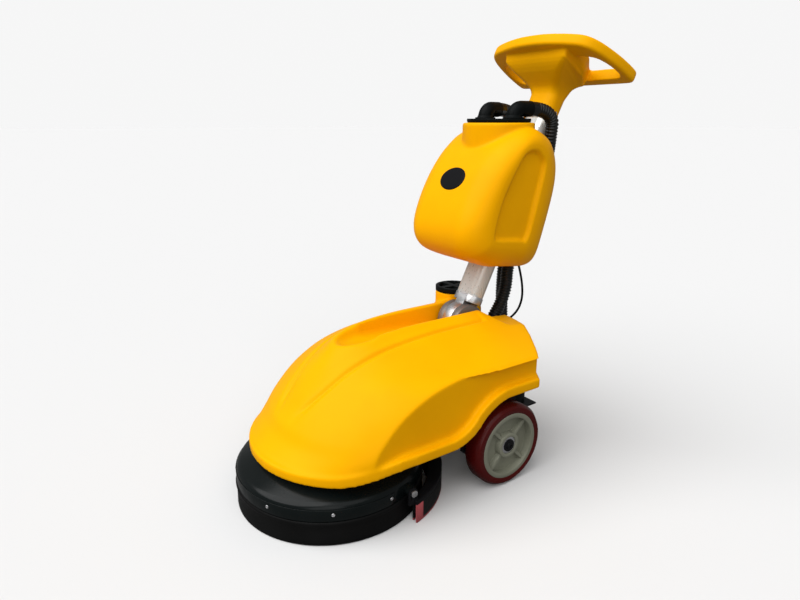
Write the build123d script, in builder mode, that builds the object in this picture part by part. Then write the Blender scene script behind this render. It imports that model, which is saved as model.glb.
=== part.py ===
"""Walk-behind floor scrubber: moulded body on a round brush deck, two wheels, tilting column with tank and handle.

Millimetres. +X is forward, +Y is the machine's left, +Z is up, and the floor is Z = 0.
"""

import os
from math import cos, radians, sin, sqrt, tan

from build123d import *

os.makedirs("parts", exist_ok=True)

# Layout
AXLE_X = -72.0  # the axle lies behind the middle of the overall length
DECK_AHEAD = 344.0  # deck centre ahead of the axle
DECK_X = AXLE_X + DECK_AHEAD
PIVOT_BEHIND = 36.0  # column hinge behind the axle
PIVOT_X = AXLE_X - PIVOT_BEHIND
PIVOT_Z = 336.0
TILT = 26.5  # lean of the column at rest, degrees from upright

# Clearances
FIT = 0.05  # running fit, on the radius
GAP = 0.3  # between pieces that move past each other
SEAT = 0.1  # between a piece and the pocket that holds it

# Wheels and axle
WHEEL_R = 100.0
WHEEL_W = 50.0
WHEEL_FACE = 231.0  # outer wheel face from the centre plane
TREAD_T = 20.0
TREAD_CROWN = 30.0  # width of the flat of the tread
SHOULDER_DROP = 7.0
HUB_RING_T = 11.0
HUB_WEB_T = 12.0
HUB_BOSS_R = 30.0
HUB_RIB_T = 7.0
HUB_RIB_INSET = 6.0
HUB_RIBS = 4
BEARING_R = 21.0
BEARING_T = 12.0
BEARING_INSET = 4.0  # bearing face below the hub's face
AXLE_R = 10.0
SPACER_R = 14.0
WASHER_R = 15.0
WASHER_T = 2.0
SCREW_HEAD_R = 8.5
SCREW_HEAD_T = 5.0
SOCKET_R = 4.5
SOCKET_DEPTH = 3.0

# Moulded body: plan outline at each height, as height, nose, start of the round front and half width
BODY_RINGS = (
    (145.0, 519.0, 340.0, 231.0),
    (205.0, 520.0, 320.0, 232.0),
    (250.0, 510.0, 250.0, 234.0),
    (282.0, 482.0, 165.0, 236.0),
    (300.0, 459.0, 110.0, 235.0),
    (318.0, 434.0, 70.0, 219.0),
    (336.0, 408.0, 55.0, 189.0),
    (353.0, 378.0, 90.0, 150.0),
    (367.0, 342.0, 150.0, 110.0),
    (377.0, 300.0, 170.0, 66.0),
    (381.0, 270.0, 180.0, 40.0),
)
BODY_REAR = 153.0  # rear of the body behind the axle, on the centre plane
BODY_REAR_R = 397.0  # the back is bowed in plan
BODY_WALL = 6.0
HOOD_STEP = 5.0  # the hood panel lies this far below the flanks
HOOD_W = 220.0
HOOD_FRONT_Z = 226.0
COVE_Y = 219.0  # recessed side panel
COVE_TOP = 300.0
LIP_PROUD = 6.0  # rim along the lower edge
LIP_H = 21.0
ARCH_FRONT = 178.0  # start of the wheel arch ahead of the axle
ARCH_R = 114.0
ARCH_TURN = 50.0
CHANNEL_W = 124.0
CHANNEL_TAPER = 130.0  # the channel narrows from here forward
CHANNEL_TIP = 362.0
CHANNEL_TIP_W = 28.0
CHANNEL_FLOOR = 296.0
CHANNEL_RISE = 9.2  # slope of the channel's floor, degrees
NOTCH_W = 84.0  # gap at the back for the hinge and the hose
NOTCH_FRONT = 20.0
RECESS_W = 256.0  # bay under the body for the motor and the battery
RECESS_FRONT = 450.0
RECESS_TOP = 275.0
RECESS_FRONT_R = 90.0
SHELF_RISE = 45.0  # the top steps down behind the hinge
SHELF_EDGE = 90.0
SHELF_Z = 347.0
SHELF_REAR_Z = 338.0
NECK_BACK = 95.0  # filler neck behind the axle
NECK_SIDE = -98.0
NECK_R = 48.0
NECK_TOP = 385.0
NECK_BORE = 40.0
CAP_T = 12.0
CAP_PLUG = 14.0
CAP_RIM = 9.0
CAP_DISH = 8.0
CAP_BAR = 14.0

# Chassis
PLATE_T = 4.0
BODY_BOTTOM = BODY_RINGS[0][0]
PLATE_Z = BODY_BOTTOM - PLATE_T
CHASSIS_REAR = 148.0
CHASSIS_STEP = 95.0  # front of the wide part, ahead of the axle
SIDE_PLATE_Y = 170.0  # outer face of the side plates
SIDE_PLATE_TOP = 222.0
SIDE_PLATE_LOW = 58.0
SIDE_PLATE_REAR = 75.0
NOSE_PLATE_R = 140.0
GEARBOX_HOLE = 62.0

# Brush deck and brush
DECK_R = 210.0
DECK_WALL = 4.0
DECK_RIM_Z = 90.0
DECK_LOW = 55.0
DECK_CROWN_R = 104.0
DECK_SLOPE_R = 192.0
DECK_SLOPE_Z = 98.0
BAND_T = 1.5
BAND_H = 26.0
BAND_LOW = 57.0
BAND_SPAN = 200.0  # degrees of the band round the front
SKIRT_R = 212.0
SKIRT_T = 5.0
SKIRT_BEAD = 1.5
SKIRT_LIFT = 2.0
BRUSH_R = 168.0
BRUSH_BLOCK_T = 14.0
BRISTLE_L = 46.0
BRISTLE_SLICE = 3.0
BRISTLE_R = 3.6
BRISTLE_RINGS = 6
BRISTLE_FIRST_R = 76.0
BRISTLE_PITCH = 17.0
BRISTLE_SPACING = 14.0
SHAFT_R = 12.0
COUPLING_R = 34.0
COUPLING_T = 20.0
GEARBOX_R = 70.0
GEARBOX_FLANGE_R = 88.0
GEARBOX_FLANGE_T = 8.0
GEARBOX_TOP = 196.0
GEARBOX_LOW = 118.0
MOTOR_R = 62.0
MOTOR_TOP = 266.0
MOTOR_FINS = 12

# Power and water
BATTERY_REAR = 34.0
BATTERY_L = 180.0
BATTERY_W = 224.0
BATTERY_H = 112.0
VAC_BACK = 92.0
VAC_SIDE = 106.0
VAC_R = 56.0
VAC_TOP = 218.0
PORT_BACK = 108.0
PORT_SIDE = 20.0
PORT_TOP = 262.0
PORT_DUCT_Z = 180.0
VALVE_AHEAD = 250.0
VALVE_SIDE = 96.0
VALVE_L = 40.0
VALVE_H = 34.0
WATER_PIPE_R = 6.0

# Squeegee
SQUEEGEE_R = 226.0  # front blade, about the deck's centre
SQUEEGEE_ANGLE = 110.0  # blade tips, from straight ahead
SQUEEGEE_DEPTH = 34.0  # from the front blade to the rear blade at the middle
SQUEEGEE_TIP_GAP = 10.0
BLADE_T = 4.0
BLADE_LIFT = 0.5
BLADE_H = 44.0
BAR_T = 10.0
HINGE_Z = 72.0  # squeegee hinge
HINGE_R = 4.0
LUG_T = 6.0
LUG_R = 11.0
LUG_FACE = 214.0
NOZZLE_R = 15.0
NOZZLE_WALL = 2.5
NOZZLE_Z = 74.0
NOZZLE_REACH = 36.0

# Column
TUBE_W = 76.0
TUBE_D = 46.0
TUBE_WALL = 3.0
TUBE_LOW = 68.0  # from the hinge, along the column
TUBE_TOP = 610.0
COLLAR_W = 80.0
COLLAR_D = 50.0
COLLAR_LOW = 50.0
SPIGOT_L = 45.0
TONGUE_R = 47.0
TONGUE_T = 29.0
CHEEK_R = 46.0
CHEEK_T = 18.0
PIVOT_R = 8.0
PIVOT_HEAD_R = 14.0
PIVOT_HEAD_T = 6.0
BRACKET_FOOT_L = 100.0
BRACKET_FOOT_W = 92.0
BRACKET_FOOT_T = 8.0

# Recovery tank, in the column's own frame: ahead of the column's axis, and along it from the hinge
TANK_HALF = 130.0
TANK_EDGE_R = 36.0
TANK_CORNERS = (
    (-24.0, 168.0, 48.0),
    (204.0, 134.0, 50.0),
    (229.0, 372.0, 62.0),
    (160.0, 462.0, 60.0),
    (-24.0, 462.0, 118.0),
)
TANK_WALL = 6.0
TANK_PANEL = ((38.0, 214.0), (142.0, 194.0), (152.0, 380.0), (72.0, 408.0))
TANK_PANEL_R = 24.0
TANK_PANEL_DEPTH = 7.0
TANK_GROOVE_GAP = 2.0
TANK_NECK_BACK = 140.0
TANK_NECK_R = 86.0
TANK_NECK_TOP = 815.0
TANK_NECK_LOW = 720.0
TANK_NECK_BORE = 70.0
HOOK_LOW = 210.0  # clamp brackets on the column
HOOK_HIGH = 360.0
HOOK_H = 24.0
LID_R = 76.0
LID_T = 7.0
LID_PLUG = 12.0
SEAL_T = 2.0
ELBOW_SIDE = 48.0
ELBOW_R = 19.0
ELBOW_WALL = 4.0
ELBOW_RISE = 16.0
ELBOW_BEND = 24.0
ELBOW_RUN = 28.0
ELBOW_TOE = 8.0
ELBOW_FOOT_R = 25.0
ELBOW_FOOT_T = 4.0
FLOAT_R = 18.0
FLOAT_L = 60.0
FLOAT_RODS = 6

# Handle, in the column's own frame
RING_TOP = 698.0
RING_T = 30.0
RING_OUTLINE = ((129.0, 58.0), (100.0, 146.0), (-8.0, 183.0), (-76.0, 176.0))
RING_CORNERS = (70.0, 34.0, 60.0, 36.0)
FINGER_GAP = ((94.0, 86.0), (82.0, 124.0), (-12.0, 151.0), (-46.0, 148.0), (-46.0, 86.0))
FINGER_GAP_R = 13.0
RING_EDGE_R = 11.0
GAP_EDGE = 6.0
CONSOLE_W = 160.0
CONSOLE_FRONT = 112.0
CONSOLE_REAR = -50.0
CONSOLE_STEPS = ((637.0, 97.0, -40.0, 158.0), (604.0, 52.0, -34.0, 112.0), (575.0, 32.0, -30.0, 88.0))
CONSOLE_R = 20.0
SLEEVE_LOW = 540.0
SLEEVE_W = 86.0
SLEEVE_D = 56.0
PANEL_L = 96.0
PANEL_W = 128.0
PANEL_T = 4.0
PANEL_AHEAD = 32.0
PANEL_R = 10.0
BUTTON_R = 9.0
BUTTON_PROUD = 4.0
BUTTON_L = 12.0
BUTTON_PITCH = 34.0
BUTTON_AHEAD = 8.0
BUTTON_TRAVEL = 2.0
GAUGE_L = 34.0
GAUGE_W = 70.0
GAUGE_T = 2.0
GAUGE_AHEAD = 56.0

# Hoses and cable
HOSE_R = 16.5
HOSE_BORE = 12.5
HOSE_SIDES = 12
BORE_STEP = 2  # the bore follows the crests of the ribs
RIB_DEPTH = 2.0
RIB_PITCH = 14.0
HOSE_END = 16.0  # plain cuff at each end of a hose
HOSE_JOIN = 400.0  # along the column
HOSE_BEHIND = 66.0
HOSE_SIDE = 22.0
JOINER_R = 20.0
JOINER_L = 30.0
CABLE_R = 3.0
CABLE_SIDES = 8
PIPE_R = 16.0
PIPE_WALL = 3.0
PIPE_Z = 54.0
PIPE_BACK = 190.0
PIPE_TOP = 150.0
PIPE_BEND = 45.0
PIPE_END_BACK = 40.0
CABLE_BEHIND = 90.0
HOSE_CROWN_REACH = 176.0  # from the lid elbow to the outer bend of the hose
HANGER_BACK = 62.0
HANGER_W = 60.0

LEAN = radians(TILT)
COLUMN = Plane(
    origin=(PIVOT_X, 0, PIVOT_Z),
    x_dir=(cos(LEAN), 0, sin(LEAN)),
    z_dir=(-sin(LEAN), 0, cos(LEAN)),
)
COLUMN_SIDE = Plane(origin=(PIVOT_X, 0, PIVOT_Z), x_dir=(cos(LEAN), 0, sin(LEAN)), z_dir=(0, -1, 0))
WHEEL_INNER = WHEEL_FACE - WHEEL_W
SKIRT_TOP = DECK_LOW
pieces = {}


def on_column(ahead, side, along):
    """A point given in the column's own frame."""
    return COLUMN.from_local_coords(Vector(ahead, side, along))


def facing_left(x, y, z):
    """Upright plane that faces +Y."""
    return Plane(origin=(x, y, z), x_dir=(-1, 0, 0), z_dir=(0, 1, 0))


def ring(plane, outer, inner, length):
    """Round bar or sleeve that stands on a plane."""
    with BuildSketch(plane) as section:
        Circle(outer)
        if inner:
            Circle(inner, mode=Mode.SUBTRACT)
    extrude(section.sketch, amount=length)


def drill(plane, radius, length):
    """Round hole cut along a plane's normal."""
    with BuildSketch(plane) as section:
        Circle(radius)
    extrude(section.sketch, amount=length, mode=Mode.SUBTRACT)


# Moulded body


def body_outline(nose, round_start, half, rear):
    """Plan outline: round front, straight sides and a bowed back."""
    corner = rear + BODY_REAR_R - sqrt(BODY_REAR_R**2 - half**2)
    with BuildLine() as outline:
        EllipticalCenterArc((round_start, 0), nose - round_start, half, -90, arc_size=180)
        Line((round_start, half), (corner, half))
        ThreePointArc((corner, half), (rear, 0), (corner, -half))
        Line((corner, -half), (round_start, -half))
    make_face(outline.edges())


def body_dome(grow):
    """The dome of the body, grown or shrunk all round."""
    crown = BODY_RINGS[3][0]
    with BuildPart() as dome:
        for height, nose, round_start, half in BODY_RINGS:
            lift = grow if height > crown else 0
            with BuildSketch(Plane.XY.offset(height + lift)):
                body_outline(
                    AXLE_X + nose + grow, AXLE_X + round_start, half + grow, AXLE_X - BODY_REAR - grow
                )
        loft()
    return dome.part


def arch_region(edge_z, lower_r, upper_r, mode=Mode.ADD):
    """Everything below the body's lower edge in side view, raised over the wheel."""
    front = AXLE_X + BODY_RINGS[0][1] + 100
    rear = AXLE_X - BODY_REAR - 100
    with BuildLine() as region:
        start = Line((front, edge_z), (AXLE_X + ARCH_FRONT, edge_z))
        rise = JernArc(start @ 1, start % 1, lower_r, -ARCH_TURN)
        level = JernArc(rise @ 1, rise % 1, upper_r, ARCH_TURN)
        back = Line(level @ 1, (rear, (level @ 1).Y))
        Polyline(back @ 1, (rear, 0), (front, 0), start @ 0)
    make_face(region.edges(), mode=mode)


def channel_tool(grow):
    """Space of the top channel, with a floor that rises forward."""
    slope = radians(CHANNEL_RISE)
    floor = Plane(
        origin=(AXLE_X + NOTCH_FRONT, 0, CHANNEL_FLOOR - grow),
        x_dir=(cos(slope), 0, sin(slope)),
        z_dir=(-sin(slope), 0, cos(slope)),
    )
    tip = CHANNEL_TIP - NOTCH_FRONT + grow
    half = CHANNEL_W / 2 + grow
    tip_half = CHANNEL_TIP_W / 2 + grow
    with BuildPart() as tool:
        with BuildSketch(floor):
            with BuildLine():
                Polyline(
                    (-400, half),
                    (CHANNEL_TAPER, half),
                    (tip, tip_half),
                    (tip, -tip_half),
                    (CHANNEL_TAPER, -half),
                    (-400, -half),
                    close=True,
                )
            make_face()
        extrude(amount=200)
    return tool.part


def notch_tool(grow):
    """Gap through the back of the body."""
    front = AXLE_X + NOTCH_FRONT + grow
    with BuildPart() as tool:
        with Locations((front, 0, 0)):
            Box(500, NOTCH_W + 2 * grow, 1200, align=(Align.MAX, Align.CENTER, Align.CENTER))
    return tool.part


def recess_tool(grow):
    """Bay for the motor and the battery, open below."""
    rear = AXLE_X + NOTCH_FRONT - 8
    length = AXLE_X + RECESS_FRONT + grow - rear
    with BuildPart() as tool:
        with Locations((rear, 0, 0)):
            Box(length, RECESS_W + 2 * grow, RECESS_TOP + grow, align=(Align.MIN, Align.CENTER, Align.MIN))
        fillet(tool.edges().filter_by(Axis.Z).group_by(Axis.X)[-1], RECESS_FRONT_R)
    return tool.part


def cavity_outline(nose, round_start, half, rear, rear_half):
    """Plain-sided plan outline of the water space."""
    steps = 5
    front = [
        (round_start + (nose - round_start) * sin(radians(a)), half * cos(radians(a)))
        for a in (90 * i / steps for i in range(steps + 1))
    ]
    left = [(rear, rear_half)] + [(rear + 50, half)] + front
    with BuildLine() as outline:
        Polyline(*left, *[(x, -y) for x, y in reversed(left) if y > 1e-6], close=True)
    make_face(outline.edges())


inset = BODY_WALL + HOOD_STEP
with BuildPart() as water_space:
    with BuildSketch(Plane.XY.offset(RECESS_TOP + BODY_WALL)):
        cavity_outline(AXLE_X + 448, AXLE_X + 130, COVE_Y - BODY_WALL, AXLE_X - BODY_REAR + inset, 120)
    with BuildSketch(Plane.XY.offset(COVE_TOP + 14)):
        cavity_outline(AXLE_X + 412, AXLE_X + 60, COVE_Y - BODY_WALL - 8, AXLE_X - BODY_REAR + inset + 4, 110)
    with BuildSketch(Plane.XY.offset(COVE_TOP + 44)):
        cavity_outline(AXLE_X + 360, AXLE_X + 60, 148, AXLE_X - SHELF_RISE + 20, 100)
    loft(ruled=True)
    for side in (1, -1):
        with Locations((AXLE_X - 50, side * (RECESS_W / 2 + BODY_WALL), SIDE_PLATE_TOP + 12)):
            Box(
                360,
                COVE_Y - RECESS_W / 2 - 2 * BODY_WALL,
                RECESS_TOP + BODY_WALL - SIDE_PLATE_TOP,
                align=(Align.MIN, Align.MIN if side > 0 else Align.MAX, Align.MIN),
            )
    add(channel_tool(BODY_WALL), mode=Mode.SUBTRACT)
    add(notch_tool(BODY_WALL), mode=Mode.SUBTRACT)

with BuildPart() as lip:
    with BuildSketch(Plane.XY.offset(BODY_BOTTOM)):
        _, nose, round_start, half = BODY_RINGS[0]
        body_outline(
            AXLE_X + nose + LIP_PROUD, AXLE_X + round_start, half + LIP_PROUD, AXLE_X - BODY_REAR - LIP_PROUD
        )
    extrude(amount=SIDE_PLATE_TOP)
    with BuildSketch(Plane.XZ):
        arch_region(BODY_BOTTOM + LIP_H, ARCH_R - LIP_H, ARCH_R + LIP_H)
        arch_region(BODY_BOTTOM, ARCH_R, ARCH_R, mode=Mode.SUBTRACT)
    extrude(amount=400, both=True, mode=Mode.INTERSECT)

with BuildPart() as solution_tank:
    add(body_dome(0))
    with BuildSketch(Plane.XY.offset(HOOD_FRONT_Z)):
        Rectangle(2000, HOOD_W)
    extrude(amount=400, mode=Mode.SUBTRACT)
    add(body_dome(-HOOD_STEP))
    for side in (1, -1):
        with Locations((AXLE_X, side * COVE_Y, 0)):
            Box(
                900,
                100,
                COVE_TOP,
                align=(Align.CENTER, Align.MIN if side > 0 else Align.MAX, Align.MIN),
                mode=Mode.SUBTRACT,
            )
    add(lip.part)
    with BuildSketch(Plane.XZ):
        arch_region(BODY_BOTTOM, ARCH_R, ARCH_R)
    extrude(amount=400, both=True, mode=Mode.SUBTRACT)
    with BuildSketch(Plane.XZ):
        with BuildLine():
            Polyline(
                (AXLE_X - SHELF_RISE, SHELF_Z + 100),
                (AXLE_X - SHELF_RISE, SHELF_Z + 32),
                (AXLE_X - SHELF_RISE - 16, SHELF_Z + 18),
                (AXLE_X - SHELF_EDGE, SHELF_Z),
                (AXLE_X - BODY_REAR - 60, SHELF_REAR_Z),
                (AXLE_X - BODY_REAR - 60, SHELF_Z + 100),
                close=True,
            )
        make_face()
    extrude(amount=400, both=True, mode=Mode.SUBTRACT)
    add(channel_tool(0), mode=Mode.SUBTRACT)
    with Locations((AXLE_X - NECK_BACK, NECK_SIDE, CHANNEL_FLOOR)):
        Cylinder(NECK_R, NECK_TOP - CHANNEL_FLOOR, align=(Align.CENTER, Align.CENTER, Align.MIN))
    add(notch_tool(0), mode=Mode.SUBTRACT)
    add(recess_tool(0), mode=Mode.SUBTRACT)
    add(water_space.part, mode=Mode.SUBTRACT)
    with Locations((AXLE_X - NECK_BACK, NECK_SIDE, CHANNEL_FLOOR)):
        Cylinder(
            NECK_BORE,
            NECK_TOP - CHANNEL_FLOOR,
            align=(Align.CENTER, Align.CENTER, Align.MIN),
            mode=Mode.SUBTRACT,
        )
pieces["solution_tank"] = solution_tank

with BuildPart() as filler_cap:
    with Locations((AXLE_X - NECK_BACK, NECK_SIDE, NECK_TOP)):
        Cylinder(NECK_R, CAP_T, align=(Align.CENTER, Align.CENTER, Align.MIN))
        Cylinder(NECK_BORE - GAP, CAP_PLUG, align=(Align.CENTER, Align.CENTER, Align.MAX))
    with Locations((AXLE_X - NECK_BACK, NECK_SIDE, NECK_TOP + CAP_T)):
        Cylinder(
            NECK_R - CAP_RIM,
            CAP_DISH,
            align=(Align.CENTER, Align.CENTER, Align.MAX),
            mode=Mode.SUBTRACT,
        )
        Box(2 * (NECK_R - CAP_RIM), CAP_BAR, CAP_DISH, align=(Align.CENTER, Align.CENTER, Align.MAX))
        Box(CAP_BAR, 2 * (NECK_R - CAP_RIM), CAP_DISH, align=(Align.CENTER, Align.CENTER, Align.MAX))
pieces["filler_cap"] = filler_cap

# Chassis, axle and wheels

with BuildPart() as chassis_frame:
    with BuildSketch(Plane.XY.offset(PLATE_Z)):
        with Locations((AXLE_X - CHASSIS_REAR, 0)):
            Rectangle(CHASSIS_REAR + CHASSIS_STEP, 2 * SIDE_PLATE_Y, align=(Align.MIN, Align.CENTER))
        with Locations((AXLE_X, 0)):
            Rectangle(DECK_AHEAD, 2 * NOSE_PLATE_R, align=(Align.MIN, Align.CENTER))
        with Locations((DECK_X, 0)):
            Circle(NOSE_PLATE_R)
            Circle(GEARBOX_HOLE, mode=Mode.SUBTRACT)
        with Locations((AXLE_X + VALVE_AHEAD, VALVE_SIDE)):
            Circle(WATER_PIPE_R + GAP, mode=Mode.SUBTRACT)
    extrude(amount=PLATE_T)
    for side in (1, -1):
        with BuildSketch(Plane.XZ.offset(-side * SIDE_PLATE_Y)):
            with BuildLine():
                Polyline(
                    (AXLE_X - SIDE_PLATE_REAR, SIDE_PLATE_LOW + 30),
                    (AXLE_X - SIDE_PLATE_REAR + 34, SIDE_PLATE_LOW),
                    (AXLE_X + CHASSIS_STEP - 34, SIDE_PLATE_LOW),
                    (AXLE_X + CHASSIS_STEP, SIDE_PLATE_LOW + 30),
                    (AXLE_X + CHASSIS_STEP, SIDE_PLATE_TOP - 54),
                    (AXLE_X + 60, SIDE_PLATE_TOP - 22),
                    (AXLE_X + 4, SIDE_PLATE_TOP),
                    (AXLE_X - SIDE_PLATE_REAR, SIDE_PLATE_TOP),
                    close=True,
                )
            make_face()
            with Locations((AXLE_X, WHEEL_R)):
                Circle(AXLE_R + FIT, mode=Mode.SUBTRACT)
        extrude(amount=side * PLATE_T)
    with BuildSketch(Plane.YZ.offset(AXLE_X - HANGER_BACK)):
        with Locations((0, PLATE_Z)):
            Rectangle(HANGER_W, PLATE_Z - PIPE_Z + PIPE_R + 8, align=(Align.CENTER, Align.MAX))
        with Locations((0, PIPE_Z)):
            Circle(PIPE_R + SEAT, mode=Mode.SUBTRACT)
    extrude(amount=PLATE_T)
pieces["chassis_frame"] = chassis_frame

axle_half = WHEEL_FACE - BEARING_INSET + GAP
with BuildPart() as wheel_axle:
    ring(facing_left(AXLE_X, -axle_half, WHEEL_R), AXLE_R, 0, 2 * axle_half)
pieces["wheel_axle"] = wheel_axle

with BuildPart() as axle_spacers:
    for side in (1, -1):
        length = WHEEL_INNER + BEARING_INSET - GAP - SIDE_PLATE_Y
        ring(facing_left(AXLE_X, side * SIDE_PLATE_Y, WHEEL_R), SPACER_R, AXLE_R + FIT, side * length)
pieces["axle_spacers"] = axle_spacers

with BuildPart() as axle_screws:
    for side in (1, -1):
        ring(facing_left(AXLE_X, side * axle_half, WHEEL_R), WASHER_R, 0, side * WASHER_T)
        head = side * (axle_half + WASHER_T)
        ring(facing_left(AXLE_X, head, WHEEL_R), SCREW_HEAD_R, 0, side * SCREW_HEAD_T)
        with BuildSketch(facing_left(AXLE_X, head + side * SCREW_HEAD_T, WHEEL_R)):
            RegularPolygon(SOCKET_R, 6)
        extrude(amount=-side * SOCKET_DEPTH, mode=Mode.SUBTRACT)
pieces["axle_screws"] = axle_screws

WHEEL_SECTION = Plane(origin=(AXLE_X, 0, WHEEL_R), x_dir=(0, 1, 0), z_dir=(1, 0, 0))
WHEEL_AXIS = Axis((AXLE_X, 0, WHEEL_R), (0, 1, 0))
hub_r = WHEEL_R - TREAD_T
for side, hand in ((1, "left"), (-1, "right")):
    middle = side * (WHEEL_FACE - WHEEL_W / 2)
    with BuildPart() as tyre:
        with BuildSketch(WHEEL_SECTION):
            with BuildLine():
                Polyline(
                    (middle - WHEEL_W / 2, hub_r),
                    (middle - WHEEL_W / 2, WHEEL_R - SHOULDER_DROP),
                    (middle - TREAD_CROWN / 2, WHEEL_R),
                    (middle + TREAD_CROWN / 2, WHEEL_R),
                    (middle + WHEEL_W / 2, WHEEL_R - SHOULDER_DROP),
                    (middle + WHEEL_W / 2, hub_r),
                    close=True,
                )
            make_face()
        revolve(axis=WHEEL_AXIS)
    pieces[f"tyre_{hand}"] = tyre

    with BuildPart() as hub:
        with BuildSketch(WHEEL_SECTION):
            with Locations((middle, hub_r)):
                Rectangle(WHEEL_W, HUB_RING_T, align=(Align.CENTER, Align.MAX))
            with Locations((middle, AXLE_R + 4)):
                Rectangle(HUB_WEB_T, hub_r - HUB_RING_T / 2 - AXLE_R - 4, align=(Align.CENTER, Align.MIN))
                Rectangle(WHEEL_W - 4, HUB_BOSS_R - AXLE_R - 4, align=(Align.CENTER, Align.MIN))
            for end in (1, -1):
                with Locations((middle + end * (WHEEL_W / 2 - BEARING_INSET - BEARING_T), 0)):
                    Rectangle(
                        BEARING_T + BEARING_INSET,
                        BEARING_R + FIT,
                        align=(Align.MIN if end > 0 else Align.MAX, Align.MIN),
                        mode=Mode.SUBTRACT,
                    )
        revolve(axis=WHEEL_AXIS)
        with BuildSketch(facing_left(AXLE_X, middle, WHEEL_R)):
            with PolarLocations((HUB_BOSS_R + hub_r - HUB_RING_T) / 2, HUB_RIBS, start_angle=45):
                Rectangle(hub_r - HUB_RING_T - HUB_BOSS_R + 4, HUB_RIB_T)
        extrude(amount=WHEEL_W / 2 - HUB_RIB_INSET, both=True)
    pieces[f"hub_{hand}"] = hub

    with BuildPart() as bearings:
        for end in (1, -1):
            face = middle + end * (WHEEL_W / 2 - BEARING_INSET)
            ring(facing_left(AXLE_X, face, WHEEL_R), BEARING_R, AXLE_R + FIT, -end * BEARING_T)
    pieces[f"bearings_{hand}"] = bearings

# Brush deck, skirt and brush

DECK_SECTION = Plane(origin=(DECK_X, 0, 0), x_dir=(1, 0, 0), z_dir=(0, -1, 0))
DECK_AXIS = Axis((DECK_X, 0, 0), (0, 0, 1))
HINGE_X = DECK_X + SQUEEGEE_R * cos(radians(SQUEEGEE_ANGLE))

with BuildPart() as brush_deck:
    with BuildSketch(DECK_SECTION):
        with BuildLine():
            Polyline(
                (GEARBOX_HOLE, PLATE_Z),
                (DECK_CROWN_R, PLATE_Z),
                (DECK_CROWN_R + 8, PLATE_Z - 9),
                (DECK_SLOPE_R, DECK_SLOPE_Z),
                (DECK_R - 5, DECK_RIM_Z + 2),
                (DECK_R, DECK_RIM_Z - 6),
                (DECK_R, DECK_LOW),
                (DECK_R - DECK_WALL, DECK_LOW),
                (DECK_R - DECK_WALL, DECK_RIM_Z - 7),
                (DECK_SLOPE_R - 2, DECK_SLOPE_Z - DECK_WALL),
                (DECK_CROWN_R + 6, PLATE_Z - 9 - DECK_WALL),
                (DECK_CROWN_R - 2, PLATE_Z - DECK_WALL),
                (GEARBOX_HOLE, PLATE_Z - DECK_WALL),
                close=True,
            )
        make_face()
    revolve(axis=DECK_AXIS)
    drill(Plane(origin=(AXLE_X + VALVE_AHEAD, VALVE_SIDE, DECK_LOW)), WATER_PIPE_R + GAP, PLATE_Z)
    for side in (1, -1):
        with BuildSketch(Plane.XZ.offset(-side * LUG_FACE)):
            with Locations((HINGE_X, HINGE_Z)):
                Circle(LUG_R)
        extrude(amount=side * (LUG_FACE - sqrt(DECK_R**2 - (HINGE_X - DECK_X) ** 2) + 4))
        drill(facing_left(HINGE_X, side * LUG_FACE, HINGE_Z), HINGE_R + FIT, -side * 16)
pieces["brush_deck"] = brush_deck

with BuildPart() as deck_band:
    a = radians(-BAND_SPAN / 2)
    with BuildSketch(Plane(origin=(DECK_X, 0, 0), x_dir=(cos(a), sin(a), 0), z_dir=(sin(a), -cos(a), 0))):
        with Locations((DECK_R + FIT, BAND_LOW)):
            Rectangle(BAND_T, BAND_H, align=(Align.MIN, Align.MIN))
    revolve(axis=DECK_AXIS, revolution_arc=BAND_SPAN)
pieces["deck_band"] = deck_band

with BuildPart() as splash_skirt:
    with BuildSketch(DECK_SECTION):
        with BuildLine():
            Polyline(
                (SKIRT_R - SKIRT_T - 1, SKIRT_TOP),
                (SKIRT_R, SKIRT_TOP),
                (SKIRT_R + SKIRT_BEAD, SKIRT_TOP - 4),
                (SKIRT_R, SKIRT_TOP - 9),
                (SKIRT_R - 1, SKIRT_TOP - 11),
                (SKIRT_R, SKIRT_LIFT),
                (SKIRT_R - SKIRT_T, SKIRT_LIFT),
                (SKIRT_R - SKIRT_T - 1, SKIRT_TOP - 11),
                close=True,
            )
        make_face()
    revolve(axis=DECK_AXIS)
pieces["splash_skirt"] = splash_skirt

with BuildPart() as brush_disc:
    with Locations((DECK_X, 0, BRISTLE_L)):
        Cylinder(BRUSH_R, BRUSH_BLOCK_T, align=(Align.CENTER, Align.CENTER, Align.MIN))
pieces["brush_disc"] = brush_disc

with BuildPart() as brush_bristles:
    with BuildSketch(Plane.XY):
        with Locations((DECK_X, 0)):
            for row in range(BRISTLE_RINGS):
                r = BRISTLE_FIRST_R + row * BRISTLE_PITCH
                with PolarLocations(r, int(6.283 * r / BRISTLE_SPACING), start_angle=7 * row):
                    RegularPolygon(BRISTLE_R, 3)
    extrude(amount=BRISTLE_L - BRISTLE_SLICE / 2)
    with BuildSketch(Plane.XY.offset(BRISTLE_L - BRISTLE_SLICE)):
        with Locations((DECK_X, 0)):
            Circle(BRUSH_R - 2)
            Circle(BRISTLE_FIRST_R - 8, mode=Mode.SUBTRACT)
    extrude(amount=BRISTLE_SLICE)
pieces["brush_bristles"] = brush_bristles

coupling_z = BRISTLE_L + BRUSH_BLOCK_T
with BuildPart() as brush_coupling:
    ring(Plane(origin=(DECK_X, 0, coupling_z)), COUPLING_R, 0, COUPLING_T)
    ring(Plane(origin=(DECK_X, 0, coupling_z)), SHAFT_R, 0, BODY_BOTTOM - coupling_z)
    for turn in (0, 90):
        with BuildSketch(Plane.XY.offset(coupling_z)):
            with Locations((DECK_X, 0)):
                Rectangle(3 * COUPLING_R, SHAFT_R, rotation=turn)
        extrude(amount=COUPLING_T / 2)
pieces["brush_coupling"] = brush_coupling

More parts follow.
